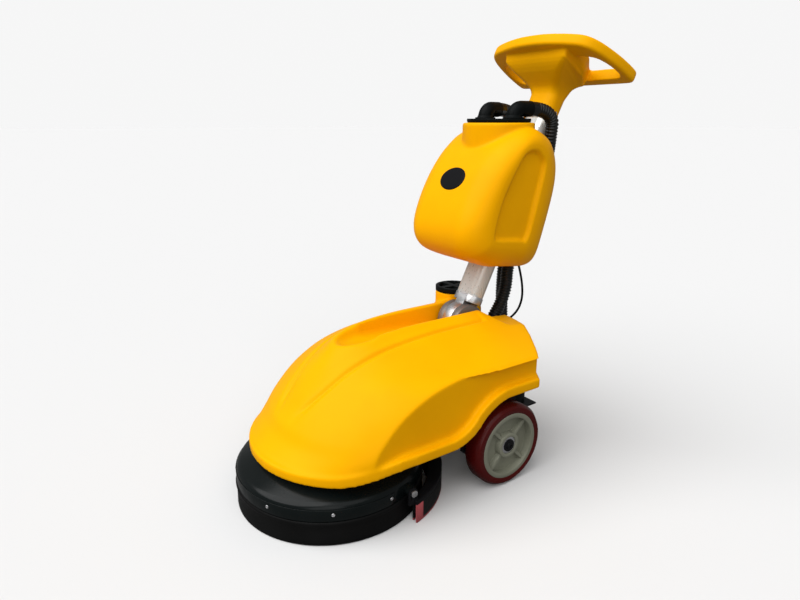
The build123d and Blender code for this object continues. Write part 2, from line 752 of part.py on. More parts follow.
with BuildPart() as gearbox:
    ring(Plane(origin=(DECK_X, 0, GEARBOX_LOW)), GEARBOX_HOLE - SEAT, SHAFT_R + FIT, BODY_BOTTOM - GEARBOX_LOW)
    ring(Plane(origin=(DECK_X, 0, BODY_BOTTOM)), GEARBOX_FLANGE_R, 0, GEARBOX_FLANGE_T)
    ring(Plane(origin=(DECK_X, 0, BODY_BOTTOM)), GEARBOX_R, 0, GEARBOX_TOP - BODY_BOTTOM)
    drill(Plane(origin=(DECK_X, 0, GEARBOX_LOW)), SHAFT_R + FIT, BODY_BOTTOM - GEARBOX_LOW + 4)
pieces["gearbox"] = gearbox

with BuildPart() as brush_motor:
    ring(Plane(origin=(DECK_X, 0, GEARBOX_TOP)), MOTOR_R - 6, 0, MOTOR_TOP - GEARBOX_TOP)
    ring(Plane(origin=(DECK_X, 0, GEARBOX_TOP)), MOTOR_R, 0, 12)
    with BuildSketch(Plane.XY.offset(GEARBOX_TOP)):
        with Locations((DECK_X, 0)):
            with PolarLocations(MOTOR_R - 6, MOTOR_FINS):
                Rectangle(12, 6)
    extrude(amount=MOTOR_TOP - GEARBOX_TOP - 14)
pieces["brush_motor"] = brush_motor

# Battery, vacuum motor and water supply

with BuildPart() as battery_pack:
    with Locations((AXLE_X + BATTERY_REAR, 0, BODY_BOTTOM)):
        Box(BATTERY_L, BATTERY_W, BATTERY_H, align=(Align.MIN, Align.CENTER, Align.MIN))
    for side in (1, -1):
        with Locations((AXLE_X + BATTERY_REAR + 24, side * BATTERY_W / 4, BODY_BOTTOM + BATTERY_H)):
            Box(20, 20, 10, align=(Align.CENTER, Align.CENTER, Align.MIN))
    with Locations((AXLE_X + BATTERY_REAR, 0, BODY_BOTTOM + BATTERY_H - 24)):
        Box(BATTERY_L, 4, 24, align=(Align.MIN, Align.CENTER, Align.MIN), mode=Mode.SUBTRACT)
pieces["battery_pack"] = battery_pack

with BuildPart() as vacuum_motor:
    ring(Plane(origin=(AXLE_X - VAC_BACK, VAC_SIDE, BODY_BOTTOM)), VAC_R, 0, 30)
    ring(Plane(origin=(AXLE_X - VAC_BACK, VAC_SIDE, BODY_BOTTOM + 30)), VAC_R - 8, 0, VAC_TOP - BODY_BOTTOM - 30)
    ring(
        facing_left(AXLE_X - PORT_BACK, PORT_SIDE - HOSE_R, PORT_DUCT_Z),
        HOSE_R,
        0,
        VAC_SIDE - PORT_SIDE,
    )
    ring(Plane(origin=(AXLE_X - PORT_BACK, PORT_SIDE, PORT_DUCT_Z - HOSE_R)), HOSE_R, 0, PORT_TOP - PORT_DUCT_Z + HOSE_R)
    drill(Plane(origin=(AXLE_X - PORT_BACK, PORT_SIDE, PORT_DUCT_Z)), HOSE_BORE, PORT_TOP - PORT_DUCT_Z)
pieces["vacuum_motor"] = vacuum_motor

with BuildPart() as solution_valve:
    with Locations((AXLE_X + VALVE_AHEAD, VALVE_SIDE, BODY_BOTTOM)):
        Box(VALVE_L, VALVE_L, VALVE_H, align=(Align.CENTER, Align.CENTER, Align.MIN))
    inlet = facing_left(AXLE_X + VALVE_AHEAD, VALVE_SIDE, BODY_BOTTOM + VALVE_H / 2)
    ring(inlet, WATER_PIPE_R + 2, 0, RECESS_W / 2 - VALVE_SIDE)
    ring(Plane(origin=(AXLE_X + VALVE_AHEAD, VALVE_SIDE, BODY_BOTTOM + VALVE_H)), 11, 0, 22)
pieces["solution_valve"] = solution_valve

with BuildPart() as solution_pipe:
    pipe_low = DECK_SLOPE_Z - 4
    ring(
        Plane(origin=(AXLE_X + VALVE_AHEAD, VALVE_SIDE, pipe_low)),
        WATER_PIPE_R,
        WATER_PIPE_R - 2,
        BODY_BOTTOM - pipe_low,
    )
pieces["solution_pipe"] = solution_pipe

# Squeegee

TIP_Y = SQUEEGEE_R * sin(radians(SQUEEGEE_ANGLE))
rear_tip_x = HINGE_X - 5
rear_tip_y = TIP_Y + SQUEEGEE_TIP_GAP
rear_mid_x = DECK_X - SQUEEGEE_R - SQUEEGEE_DEPTH
REAR_ARC_X = (rear_tip_x**2 + rear_tip_y**2 - rear_mid_x**2) / (2 * (rear_tip_x - rear_mid_x))
REAR_ARC_R = REAR_ARC_X - rear_mid_x


def crescent(front_r, rear_r):
    """Plan shape between an arc about the deck and the wider arc behind it, cut off at the hinge."""
    with BuildSketch() as shape:
        with Locations((REAR_ARC_X, 0)):
            Circle(rear_r)
        with Locations((DECK_X, 0)):
            Circle(front_r, mode=Mode.SUBTRACT)
        with Locations((HINGE_X - 4, 0)):
            Rectangle(1000, 1000, align=(Align.MIN, Align.CENTER), mode=Mode.SUBTRACT)
    return shape.sketch


def arc_strip(centre_x, radius, thickness):
    """Plan shape of a blade, cut off at the hinge."""
    with BuildSketch() as shape:
        with Locations((centre_x, 0)):
            Circle(radius + thickness)
            Circle(radius, mode=Mode.SUBTRACT)
        with Locations((HINGE_X - 4, 0)):
            Rectangle(1000, 1000, align=(Align.MIN, Align.CENTER), mode=Mode.SUBTRACT)
    return shape.sketch


with BuildPart() as front_blade:
    with BuildSketch(Plane.XY.offset(BLADE_LIFT)):
        add(arc_strip(DECK_X, SQUEEGEE_R, BLADE_T))
    extrude(amount=BLADE_H - BLADE_LIFT)
pieces["front_blade"] = front_blade

with BuildPart() as rear_blade:
    with BuildSketch(Plane.XY.offset(BLADE_LIFT)):
        add(arc_strip(REAR_ARC_X, REAR_ARC_R, BLADE_T))
    extrude(amount=BLADE_H - BLADE_LIFT)
pieces["rear_blade"] = rear_blade

nozzle_x = DECK_X - SQUEEGEE_R - BLADE_T / 2 - SQUEEGEE_DEPTH / 2
bar_top = BLADE_H + BAR_T
with BuildPart() as squeegee_body:
    with BuildSketch(Plane.XY.offset(BLADE_H)):
        add(crescent(SQUEEGEE_R, REAR_ARC_R + BLADE_T))
    extrude(amount=BAR_T)
    with BuildSketch(Plane.XY.offset(BLADE_H / 2)):
        add(crescent(SQUEEGEE_R + BLADE_T + SEAT, REAR_ARC_R - SEAT))
    extrude(amount=BLADE_H / 2)
    for side in (1, -1):
        with BuildSketch(Plane.XZ.offset(-side * (LUG_FACE + GAP))):
            with Locations((HINGE_X, HINGE_Z)):
                Circle(LUG_R)
            with Locations((HINGE_X, BLADE_H)):
                Rectangle(2 * LUG_R, HINGE_Z - BLADE_H, align=(Align.CENTER, Align.MIN))
        extrude(amount=-side * LUG_T)
        drill(facing_left(HINGE_X, side * (LUG_FACE - 1), HINGE_Z), HINGE_R + FIT, side * (LUG_T + 4))
    drill(Plane(origin=(nozzle_x, 0, 0)), NOZZLE_R - NOZZLE_WALL, 200)
pieces["squeegee_body"] = squeegee_body

with BuildPart() as squeegee_nozzle:
    ring(Plane(origin=(nozzle_x, 0, bar_top)), NOZZLE_R + 1, 0, NOZZLE_Z - bar_top + NOZZLE_R)
    back = Plane(origin=(nozzle_x, 0, NOZZLE_Z), x_dir=(0, 1, 0), z_dir=(-1, 0, 0))
    ring(back, NOZZLE_R, 0, NOZZLE_REACH)
    drill(Plane(origin=(nozzle_x, 0, bar_top)), NOZZLE_R - NOZZLE_WALL, NOZZLE_Z - bar_top)
    drill(back, NOZZLE_R - NOZZLE_WALL, NOZZLE_REACH)
pieces["squeegee_nozzle"] = squeegee_nozzle

with BuildPart() as squeegee_bolts:
    for side in (1, -1):
        outer = LUG_FACE + GAP + LUG_T
        ring(facing_left(HINGE_X, side * (LUG_FACE - 14), HINGE_Z), HINGE_R, 0, side * (outer + GAP - LUG_FACE + 14))
        ring(facing_left(HINGE_X, side * (outer + GAP), HINGE_Z), HINGE_R + 3.5, 0, side * 4)
pieces["squeegee_bolts"] = squeegee_bolts

# Hinge and column


def stadium(plane, width, depth, length, mode=Mode.ADD):
    """Bar with a flat oval section that stands on a plane."""
    with BuildSketch(plane) as section:
        SlotOverall(width, depth, rotation=90)
    extrude(section.sketch, amount=length, mode=mode)


with BuildPart() as column_bracket:
    with Locations((PIVOT_X, 0, BODY_BOTTOM)):
        Box(BRACKET_FOOT_L, BRACKET_FOOT_W, BRACKET_FOOT_T, align=(Align.CENTER, Align.CENTER, Align.MIN))
    for side in (1, -1):
        with BuildSketch(Plane.XZ.offset(-side * (TONGUE_T / 2 + GAP))):
            with Locations((PIVOT_X, PIVOT_Z)):
                Circle(CHEEK_R)
                Rectangle(2 * CHEEK_R, PIVOT_Z - BODY_BOTTOM, align=(Align.CENTER, Align.MAX))
                Circle(PIVOT_R + FIT, mode=Mode.SUBTRACT)
        extrude(amount=-side * CHEEK_T)
pieces["column_bracket"] = column_bracket

bolt_half = TONGUE_T / 2 + GAP + CHEEK_T
with BuildPart() as pivot_bolt:
    ring(facing_left(PIVOT_X, -bolt_half, PIVOT_Z), PIVOT_R, 0, 2 * bolt_half)
    for side in (1, -1):
        with BuildSketch(facing_left(PIVOT_X, side * bolt_half, PIVOT_Z)):
            RegularPolygon(PIVOT_HEAD_R, 6)
        extrude(amount=side * PIVOT_HEAD_T)
pieces["pivot_bolt"] = pivot_bolt

with BuildPart() as column_knuckle:
    with BuildSketch(COLUMN_SIDE):
        Circle(TONGUE_R)
        Rectangle(COLLAR_D, COLLAR_LOW + 4, align=(Align.CENTER, Align.MIN))
        Circle(PIVOT_R + FIT, mode=Mode.SUBTRACT)
    extrude(amount=TONGUE_T / 2, both=True)
    stadium(COLUMN.offset(COLLAR_LOW), COLLAR_W, COLLAR_D, TUBE_LOW - COLLAR_LOW)
    inner_gap = 2 * (TUBE_WALL + SEAT)
    stadium(COLUMN.offset(TUBE_LOW), TUBE_W - inner_gap, TUBE_D - inner_gap, SPIGOT_L)
pieces["column_knuckle"] = column_knuckle

with BuildPart() as column_tube:
    stadium(COLUMN.offset(TUBE_LOW), TUBE_W, TUBE_D, TUBE_TOP - TUBE_LOW)
    stadium(
        COLUMN.offset(TUBE_LOW),
        TUBE_W - 2 * TUBE_WALL,
        TUBE_D - 2 * TUBE_WALL,
        TUBE_TOP - TUBE_LOW,
        mode=Mode.SUBTRACT,
    )
pieces["column_tube"] = column_tube

# Recovery tank on the column

GROOVE_FLOOR = TUBE_D / 2 + 4
with BuildPart() as tank_bracket:
    for along in (HOOK_LOW, HOOK_HIGH):
        with BuildSketch(COLUMN.offset(along)):
            with Locations((TUBE_D / 2, 0)):
                Rectangle(GROOVE_FLOOR - TUBE_D / 2, TUBE_W - TUBE_D - 2, align=(Align.MIN, Align.CENTER))
        extrude(amount=HOOK_H)
pieces["tank_bracket"] = tank_bracket

with BuildPart() as recovery_tank:
    with BuildSketch(COLUMN_SIDE):
        with BuildLine():
            FilletPolyline(
                *[(ahead, along) for ahead, along, _ in TANK_CORNERS],
                radius=[r for _, _, r in TANK_CORNERS],
                close=True,
            )
        make_face()
    extrude(amount=TANK_HALF, both=True)
    fillet(recovery_tank.faces().filter_by(Axis.Y).edges(), TANK_EDGE_R)
    neck = Plane(origin=(AXLE_X - TANK_NECK_BACK, 0, TANK_NECK_LOW))
    ring(neck, TANK_NECK_R, 0, TANK_NECK_TOP - TANK_NECK_LOW)
    for side in (1, -1):
        with BuildSketch(COLUMN_SIDE.offset(side * (TANK_HALF - TANK_PANEL_DEPTH))):
            with BuildLine():
                FilletPolyline(*TANK_PANEL, radius=TANK_PANEL_R, close=True)
            make_face()
        extrude(amount=side * 60, mode=Mode.SUBTRACT)
    with BuildSketch(COLUMN):
        with Locations((GROOVE_FLOOR, 0)):
            Rectangle(200, TUBE_W + 2 * TANK_GROOVE_GAP, align=(Align.MAX, Align.CENTER))
    extrude(amount=600, mode=Mode.SUBTRACT)
    with BuildSketch(COLUMN_SIDE):
        with BuildLine():
            Polyline((40, 192), (178, 172), (198, 350), (144, 432), (40, 432), close=True)
        make_face()
    extrude(amount=TANK_HALF - 26, both=True, mode=Mode.SUBTRACT)
    drill(Plane(origin=(AXLE_X - TANK_NECK_BACK, 0, TANK_NECK_TOP)), TANK_NECK_BORE, -58)
pieces["recovery_tank"] = recovery_tank

lid_z = TANK_NECK_TOP + SEAL_T
with BuildPart() as lid_gasket:
    ring(Plane(origin=(AXLE_X - TANK_NECK_BACK, 0, TANK_NECK_TOP)), LID_R - 1, TANK_NECK_BORE, SEAL_T)
pieces["lid_gasket"] = lid_gasket

with BuildPart() as tank_lid:
    ring(Plane(origin=(AXLE_X - TANK_NECK_BACK, 0, lid_z)), LID_R, 0, LID_T)
    ring(Plane(origin=(AXLE_X - TANK_NECK_BACK, 0, lid_z)), TANK_NECK_BORE - GAP, 0, -LID_PLUG)
    for side in (1, -1):
        bore = Plane(origin=(AXLE_X - TANK_NECK_BACK, side * ELBOW_SIDE, lid_z + LID_T))
        drill(bore, ELBOW_R - ELBOW_WALL, -LID_T - LID_PLUG)
pieces["tank_lid"] = tank_lid


def elbow_route(side):
    """Centre line of a lid elbow: up, then back and a little outward."""
    toe = radians(ELBOW_TOE)
    x = AXLE_X - TANK_NECK_BACK
    reach = ELBOW_BEND + ELBOW_RUN
    foot = (x, side * ELBOW_SIDE, lid_z + LID_T)
    corner = (x, side * ELBOW_SIDE, lid_z + LID_T + ELBOW_RISE + ELBOW_BEND)
    end = (x - reach * cos(toe), side * (ELBOW_SIDE + reach * sin(toe)), corner[2])
    return foot, corner, end


with BuildPart() as lid_elbows:
    for side in (1, -1):
        foot, corner, end = elbow_route(side)
        with BuildLine() as route:
            FilletPolyline(foot, corner, end, radius=ELBOW_BEND)
        with BuildSketch(Plane(origin=foot)) as section:
            Circle(ELBOW_R)
            Circle(ELBOW_R - ELBOW_WALL, mode=Mode.SUBTRACT)
        sweep(section.sketch, path=route.line)
        ring(Plane(origin=foot), ELBOW_FOOT_R, ELBOW_R - ELBOW_WALL, ELBOW_FOOT_T)
pieces["lid_elbows"] = lid_elbows

float_top = lid_z - LID_PLUG
with BuildPart() as float_cage:
    centre = (AXLE_X - TANK_NECK_BACK, -ELBOW_SIDE)
    ring(Plane(origin=(*centre, float_top)), FLOAT_R, FLOAT_R - 3, -5)
    ring(Plane(origin=(*centre, float_top - FLOAT_L)), FLOAT_R, 0, 3)
    with BuildSketch(Plane.XY.offset(float_top - FLOAT_L)):
        with Locations(centre):
            with PolarLocations(FLOAT_R - 1.5, FLOAT_RODS):
                Rectangle(3, 3)
    extrude(amount=FLOAT_L - 1)
pieces["float_cage"] = float_cage

# Handle and controls

with BuildPart() as handle_frame:
    with BuildSketch(COLUMN.offset(RING_TOP - RING_T)):
        with BuildLine():
            left = list(RING_OUTLINE)
            FilletPolyline(
                *left,
                *[(ahead, -out) for ahead, out in reversed(left)],
                radius=[*RING_CORNERS, *reversed(RING_CORNERS)],
                close=True,
            )
        make_face()
        for side in (1, -1):
            with BuildLine():
                FilletPolyline(
                    *[(ahead, side * out) for ahead, out in FINGER_GAP], radius=FINGER_GAP_R, close=True
                )
            make_face(mode=Mode.SUBTRACT)
    extrude(amount=RING_T)
    ends = handle_frame.faces().filter_by(lambda f: abs(f.normal_at().dot(COLUMN.z_dir)) > 0.99)
    rims = [face.outer_wire().edges() for face in ends]
    gaps = [wire.edges() for face in ends for wire in face.inner_wires()]
    fillet([edge for rim in rims for edge in rim], RING_EDGE_R)
    chamfer([edge for gap in gaps for edge in gap], GAP_EDGE)
    with BuildSketch(COLUMN.offset(RING_TOP - RING_T)):
        with Locations(((CONSOLE_FRONT + CONSOLE_REAR) / 2, 0)):
            RectangleRounded(CONSOLE_FRONT - CONSOLE_REAR, CONSOLE_W, CONSOLE_R)
    for along, front, rear, width in CONSOLE_STEPS:
        with BuildSketch(COLUMN.offset(along)):
            with Locations(((front + rear) / 2, 0)):
                RectangleRounded(front - rear, width, CONSOLE_R)
    loft(ruled=True)
    stadium(COLUMN.offset(SLEEVE_LOW), SLEEVE_W, SLEEVE_D, CONSOLE_STEPS[-1][0] - SLEEVE_LOW + 10)
    bore_gap = 2 * SEAT
    stadium(
        COLUMN.offset(SLEEVE_LOW), TUBE_W + bore_gap, TUBE_D + bore_gap, TUBE_TOP - SLEEVE_LOW, mode=Mode.SUBTRACT
    )
    for place in (-1, 0, 1):
        seat = Plane(
            origin=on_column(BUTTON_AHEAD, place * BUTTON_PITCH, RING_TOP), x_dir=COLUMN.x_dir, z_dir=COLUMN.z_dir
        )
        drill(seat, BUTTON_R + GAP, PANEL_T + BUTTON_PROUD - BUTTON_L - BUTTON_TRAVEL - 1)
pieces["handle_frame"] = handle_frame

with BuildPart() as control_panel:
    with BuildSketch(COLUMN.offset(RING_TOP)):
        with Locations((PANEL_AHEAD, 0)):
            RectangleRounded(PANEL_L, PANEL_W, PANEL_R)
        for place in (-1, 0, 1):
            with Locations((BUTTON_AHEAD, place * BUTTON_PITCH)):
                Circle(BUTTON_R + GAP, mode=Mode.SUBTRACT)
    extrude(amount=PANEL_T)
pieces["control_panel"] = control_panel

with BuildPart() as battery_gauge:
    with BuildSketch(COLUMN.offset(RING_TOP + PANEL_T)):
        with Locations((GAUGE_AHEAD, 0)):
            RectangleRounded(GAUGE_L, GAUGE_W, 4)
    extrude(amount=GAUGE_T)
pieces["battery_gauge"] = battery_gauge

for place, use in ((1, "power"), (0, "brush"), (-1, "vacuum")):
    with BuildPart() as button:
        top = RING_TOP + PANEL_T + BUTTON_PROUD
        seat = Plane(
            origin=on_column(BUTTON_AHEAD, place * BUTTON_PITCH, top), x_dir=COLUMN.x_dir, z_dir=COLUMN.z_dir
        )
        ring(seat, BUTTON_R, 0, -BUTTON_L)
    pieces[f"{use}_button"] = button

# Hoses, suction pipe and cable


def soft_bends(points):
    """Bend radii as large as the straight runs allow."""
    radii = []
    for before, here, after in zip(points, points[1:], points[2:]):
        run = min((Vector(here) - Vector(before)).length, (Vector(after) - Vector(here)).length)
        turn = (Vector(here) - Vector(before)).get_angle(Vector(after) - Vector(here))
        radii.append(0.45 * run / tan(radians(turn / 2)))
    return radii


def square_to(path, distance):
    """Plane across a route, with its first axis kept to the machine's side."""
    spot = path.location_at(distance, position_mode=PositionMode.LENGTH)
    along = spot.z_axis.direction
    return Plane(origin=spot.position, x_dir=Vector(0, 1, 0) - along * along.Y, z_dir=along)


def hose(points):
    """Ribbed hose along a route, with a plain cuff at each end."""
    with BuildLine() as route:
        FilletPolyline(*points, radius=soft_bends(points))
    path = route.wire()
    ribs = round((path.length - 2 * HOSE_END) / RIB_PITCH)
    pitch = (path.length - 2 * HOSE_END) / ribs
    stations = [(0, HOSE_R)]
    for i in range(ribs):
        stations.append((HOSE_END + i * pitch, HOSE_R))
        stations.append((HOSE_END + (i + 0.5) * pitch, HOSE_R - RIB_DEPTH))
    stations.append((path.length - HOSE_END, HOSE_R))
    stations.append((path.length, HOSE_R))
    with BuildPart() as ribbed:
        for distance, radius in stations:
            with BuildSketch(square_to(path, distance)):
                RegularPolygon(radius, HOSE_SIDES)
        loft(ruled=True)
        for distance, radius in (stations[0], *stations[1:-1:BORE_STEP], stations[-1]):
            with BuildSketch(square_to(path, distance)):
                RegularPolygon(HOSE_BORE, HOSE_SIDES)
        loft(ruled=True, mode=Mode.SUBTRACT)
    return ribbed


def rear(back, side, height):
    """A point measured from the axle."""
    return (AXLE_X - back, side, height)


with BuildPart() as suction_pipe:
    top = rear(PIPE_BACK, 0, PIPE_TOP)
    with BuildLine() as route:
        FilletPolyline(top, rear(PIPE_BACK, 0, PIPE_Z), rear(PIPE_END_BACK, 0, PIPE_Z), radius=PIPE_BEND)
    with BuildSketch(Plane(origin=top)) as section:
        Circle(PIPE_R)
        Circle(PIPE_R - PIPE_WALL, mode=Mode.SUBTRACT)
    sweep(section.sketch, path=route.line)
pieces["suction_pipe"] = suction_pipe

with BuildPart() as hose_joiner:
    for side in (1, -1):
        seat = Plane(
            origin=on_column(-HOSE_BEHIND, side * HOSE_SIDE, HOSE_JOIN - JOINER_L / 2),
            x_dir=COLUMN.x_dir,
            z_dir=COLUMN.z_dir,
        )
        ring(seat, JOINER_R, HOSE_BORE, JOINER_L)
    with BuildSketch(COLUMN.offset(HOSE_JOIN - JOINER_L / 2)):
        with Locations((-HOSE_BEHIND, 0)):
            Rectangle(14, 2 * (HOSE_SIDE - HOSE_BORE) - 2)
        with Locations((-TUBE_D / 2, 0)):
            Rectangle(HOSE_BEHIND - TUBE_D / 2, 14, align=(Align.MAX, Align.CENTER))
        with Locations((-HOSE_BEHIND, 0)):
            Rectangle(CABLE_BEHIND - HOSE_BEHIND + 6, 12, align=(Align.MAX, Align.CENTER))
    extrude(amount=JOINER_L)
pieces["hose_joiner"] = hose_joiner

join_low = HOSE_JOIN - JOINER_L / 2
join_high = HOSE_JOIN + JOINER_L / 2
for side, use in ((1, "vacuum"), (-1, "suction")):
    foot, corner, end = elbow_route(side)
    run = Vector(end) - Vector(corner)
    bend = Vector(corner) + run.normalized() * HOSE_CROWN_REACH
    upper = hose(
        [
            end,
            bend,
            on_column(-HOSE_BEHIND, side * HOSE_SIDE, join_high + 85),
            on_column(-HOSE_BEHIND, side * HOSE_SIDE, join_high),
        ]
    )
    pieces[f"{use}_hose_upper"] = upper

vacuum_lower = hose(
    [
        on_column(-HOSE_BEHIND, HOSE_SIDE, join_low),
        on_column(-HOSE_BEHIND, HOSE_SIDE, 190),
        rear(168, PORT_SIDE, 372),
        rear(PORT_BACK, PORT_SIDE, PORT_TOP + 34),
        rear(PORT_BACK, PORT_SIDE, PORT_TOP),
    ]
)
pieces["vacuum_hose_lower"] = vacuum_lower

suction_lower = hose(
    [
        on_column(-HOSE_BEHIND, -HOSE_SIDE, join_low),
        on_column(-HOSE_BEHIND, -HOSE_SIDE, 320),
        rear(221, -HOSE_SIDE, 520),
        rear(209, -HOSE_SIDE, 400),
        rear(215, -HOSE_SIDE, 300),
        rear(PIPE_BACK, 0, 205),
        rear(PIPE_BACK, 0, PIPE_TOP),
    ]
)
pieces["suction_hose_lower"] = suction_lower

pickup = hose(
    [
        rear(PIPE_END_BACK, 0, PIPE_Z),
        rear(PIPE_END_BACK - 36, 0, PIPE_Z),
        (nozzle_x - NOZZLE_REACH - 34, 0, NOZZLE_Z),
        (nozzle_x - NOZZLE_REACH, 0, NOZZLE_Z),
    ]
)
pieces["pickup_hose"] = pickup

cable_points = [
    on_column(-CABLE_BEHIND, 1, join_low),
    on_column(-CABLE_BEHIND, 1, 240),
    rear(246, 1, 392),
    rear(240, 1, 334),
    rear(204, 1, 303),
    rear(140, 1, 285),
    rear(140, 1, BODY_BOTTOM),
]
with BuildPart() as control_cable:
    with BuildLine() as route:
        FilletPolyline(*cable_points, radius=soft_bends(cable_points))
    with BuildSketch(square_to(route.wire(), 0)) as section:
        RegularPolygon(CABLE_R, CABLE_SIDES)
    sweep(section.sketch, path=route.line)
pieces["control_cable"] = control_cable

for name, piece in pieces.items():
    piece.part.label = name
    export_step(piece.part, f"parts/{name}.step")
    print(name, round(piece.part.volume), len(piece.part.solids()), piece.part.is_valid)
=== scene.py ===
"""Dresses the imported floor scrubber: finishes, softened mouldings, hoses, fasteners, light and camera."""

from math import atan2, cos, exp, hypot, pi, radians, sin, sqrt

import bmesh
import bpy
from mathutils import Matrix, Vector


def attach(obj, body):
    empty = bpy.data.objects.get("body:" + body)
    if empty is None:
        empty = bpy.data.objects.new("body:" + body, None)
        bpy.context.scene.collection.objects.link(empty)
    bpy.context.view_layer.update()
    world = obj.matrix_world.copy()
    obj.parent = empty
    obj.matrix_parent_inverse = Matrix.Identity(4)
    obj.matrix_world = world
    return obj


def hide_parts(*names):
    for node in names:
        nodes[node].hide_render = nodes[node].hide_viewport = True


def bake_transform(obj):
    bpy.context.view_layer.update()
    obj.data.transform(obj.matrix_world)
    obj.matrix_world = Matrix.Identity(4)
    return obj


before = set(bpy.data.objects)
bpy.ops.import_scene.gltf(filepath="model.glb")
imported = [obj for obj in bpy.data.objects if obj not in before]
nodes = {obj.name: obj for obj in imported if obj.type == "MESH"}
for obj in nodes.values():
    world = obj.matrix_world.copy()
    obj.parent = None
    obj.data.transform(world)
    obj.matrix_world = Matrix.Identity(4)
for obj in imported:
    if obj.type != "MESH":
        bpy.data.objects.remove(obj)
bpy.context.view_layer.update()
scene = bpy.context.scene

# Camera at the photograph's angle

AXLE_X = -0.072
LEAN = radians(26.5)  # the column leans back
DECK = Vector((0.272, 0, 0))

camera = bpy.data.objects.new("camera", bpy.data.cameras.new("camera"))
camera.data.lens = 27
camera.data.sensor_width = 36
camera.location = (0.8391, 1.0966, 0.8185)
pitch = radians(16.61)
aim = Vector((-0.571 * cos(pitch), -0.821 * cos(pitch), -sin(pitch)))
camera.rotation_euler = aim.to_track_quat("-Z", "Y").to_euler()
scene.collection.objects.link(camera)
scene.camera = camera
scene.view_settings.view_transform = "Standard"

# Materials


def finish_of(name, low, high, rough, grain, bump, metallic=0.0, stretch=(1, 1, 1), turn=0.0, shine=0.5):
    """Procedural finish: two tones and two roughnesses mixed by noise, with a fine bump."""
    made = bpy.data.materials.new(name)
    made.use_nodes = True
    tree = made.node_tree
    shader = tree.nodes["Principled BSDF"]
    shader.inputs["Metallic"].default_value = metallic
    shader.inputs["Specular IOR Level"].default_value = shine
    place = tree.nodes.new("ShaderNodeTexCoord")
    turned = tree.nodes.new("ShaderNodeMapping")
    turned.inputs["Rotation"].default_value = (0, turn, 0)
    turned.inputs["Scale"].default_value = stretch
    tree.links.new(place.outputs["Object"], turned.inputs["Vector"])
    broad = tree.nodes.new("ShaderNodeTexNoise")
    broad.inputs["Scale"].default_value = 9
    broad.inputs["Detail"].default_value = 3
    fine = tree.nodes.new("ShaderNodeTexNoise")
    fine.inputs["Scale"].default_value = grain
    fine.inputs["Detail"].default_value = 4
    tone = tree.nodes.new("ShaderNodeValToRGB")
    tone.color_ramp.elements[0].position = 0.3
    tone.color_ramp.elements[1].position = 0.7
    tone.color_ramp.elements[0].color = (*low, 1)
    tone.color_ramp.elements[1].color = (*high, 1)
    gloss = tree.nodes.new("ShaderNodeMapRange")
    gloss.inputs["From Min"].default_value = 0.3
    gloss.inputs["From Max"].default_value = 0.7
    gloss.inputs["To Min"].default_value = rough[0]
    gloss.inputs["To Max"].default_value = rough[1]
    relief = tree.nodes.new("ShaderNodeBump")
    relief.inputs["Strength"].default_value = bump
    relief.inputs["Distance"].default_value = 0.0006
    for noise in (broad, fine):
        tree.links.new(turned.outputs["Vector"], noise.inputs["Vector"])
    tree.links.new(broad.outputs["Fac"], tone.inputs["Fac"])
    tree.links.new(tone.outputs["Color"], shader.inputs["Base Color"])
    tree.links.new(fine.outputs["Fac"], gloss.inputs["Value"])
    tree.links.new(gloss.outputs["Result"], shader.inputs["Roughness"])
    tree.links.new(fine.outputs["Fac"], relief.inputs["Height"])
    tree.links.new(relief.outputs["Normal"], shader.inputs["Normal"])
    return made


YELLOW = finish_of(
    "yellow_moulding", (0.90, 0.405, 0.0), (0.96, 0.44, 0.0), (0.36, 0.44), 420, 0.04, shine=0.04
)
BLACK = finish_of(
    "black_moulding", (0.003, 0.004, 0.004), (0.006, 0.007, 0.007), (0.34, 0.46), 700, 0.1, shine=0.06
)
DECK_BLACK = finish_of(
    "deck_moulding", (0.003, 0.005, 0.005), (0.006, 0.008, 0.008), (0.17, 0.24), 500, 0.05, shine=0.16
)
RUBBER = finish_of(
    "black_rubber", (0.003, 0.003, 0.003), (0.006, 0.006, 0.006), (0.5, 0.65), 800, 0.2, shine=0.1
)
HOSE = finish_of(
    "hose_plastic", (0.003, 0.004, 0.004), (0.006, 0.007, 0.007), (0.25, 0.34), 600, 0.05, shine=0.35
)
COAT = finish_of(
    "black_powder_coat", (0.004, 0.004, 0.005), (0.008, 0.008, 0.009), (0.45, 0.6), 900, 0.2, shine=0.12
)
CAST = finish_of(
    "cast_metal", (0.50, 0.51, 0.52), (0.64, 0.65, 0.66), (0.32, 0.5), 300, 0.3, metallic=1.0
)
GREY = finish_of(
    "grey_casting", (0.16, 0.15, 0.14), (0.24, 0.22, 0.2), (0.4, 0.6), 260, 0.4, metallic=0.6
)
TUBE = finish_of(
    "brushed_tube", (0.70, 0.72, 0.70), (0.80, 0.82, 0.79), (0.24, 0.4), 260, 0.12, 0.35, (1, 1, 0.04), LEAN
)
STEEL = finish_of(
    "zinc_plate", (0.55, 0.55, 0.56), (0.7, 0.7, 0.72), (0.2, 0.38), 500, 0.15, metallic=1.0
)
DARK_STEEL = finish_of(
    "dark_screw", (0.03, 0.02, 0.008), (0.06, 0.04, 0.015), (0.3, 0.45), 500, 0.1, metallic=0.5
)
TREAD = finish_of(
    "maroon_tread", (0.06, 0.003, 0.0025), (0.085, 0.005, 0.004), (0.2, 0.3), 500, 0.06, shine=0.15
)
HUB = finish_of(
    "grey_hub", (0.18, 0.182, 0.135), (0.235, 0.237, 0.18), (0.36, 0.55), 420, 0.25, shine=0.3
)
BLADE = finish_of(
    "blade_rubber", (0.42, 0.075, 0.085), (0.52, 0.11, 0.12), (0.45, 0.6), 500, 0.15, shine=0.2
)
BLOCK = finish_of(
    "brush_block", (0.006, 0.006, 0.007), (0.012, 0.012, 0.013), (0.45, 0.6), 500, 0.2, shine=0.25
)
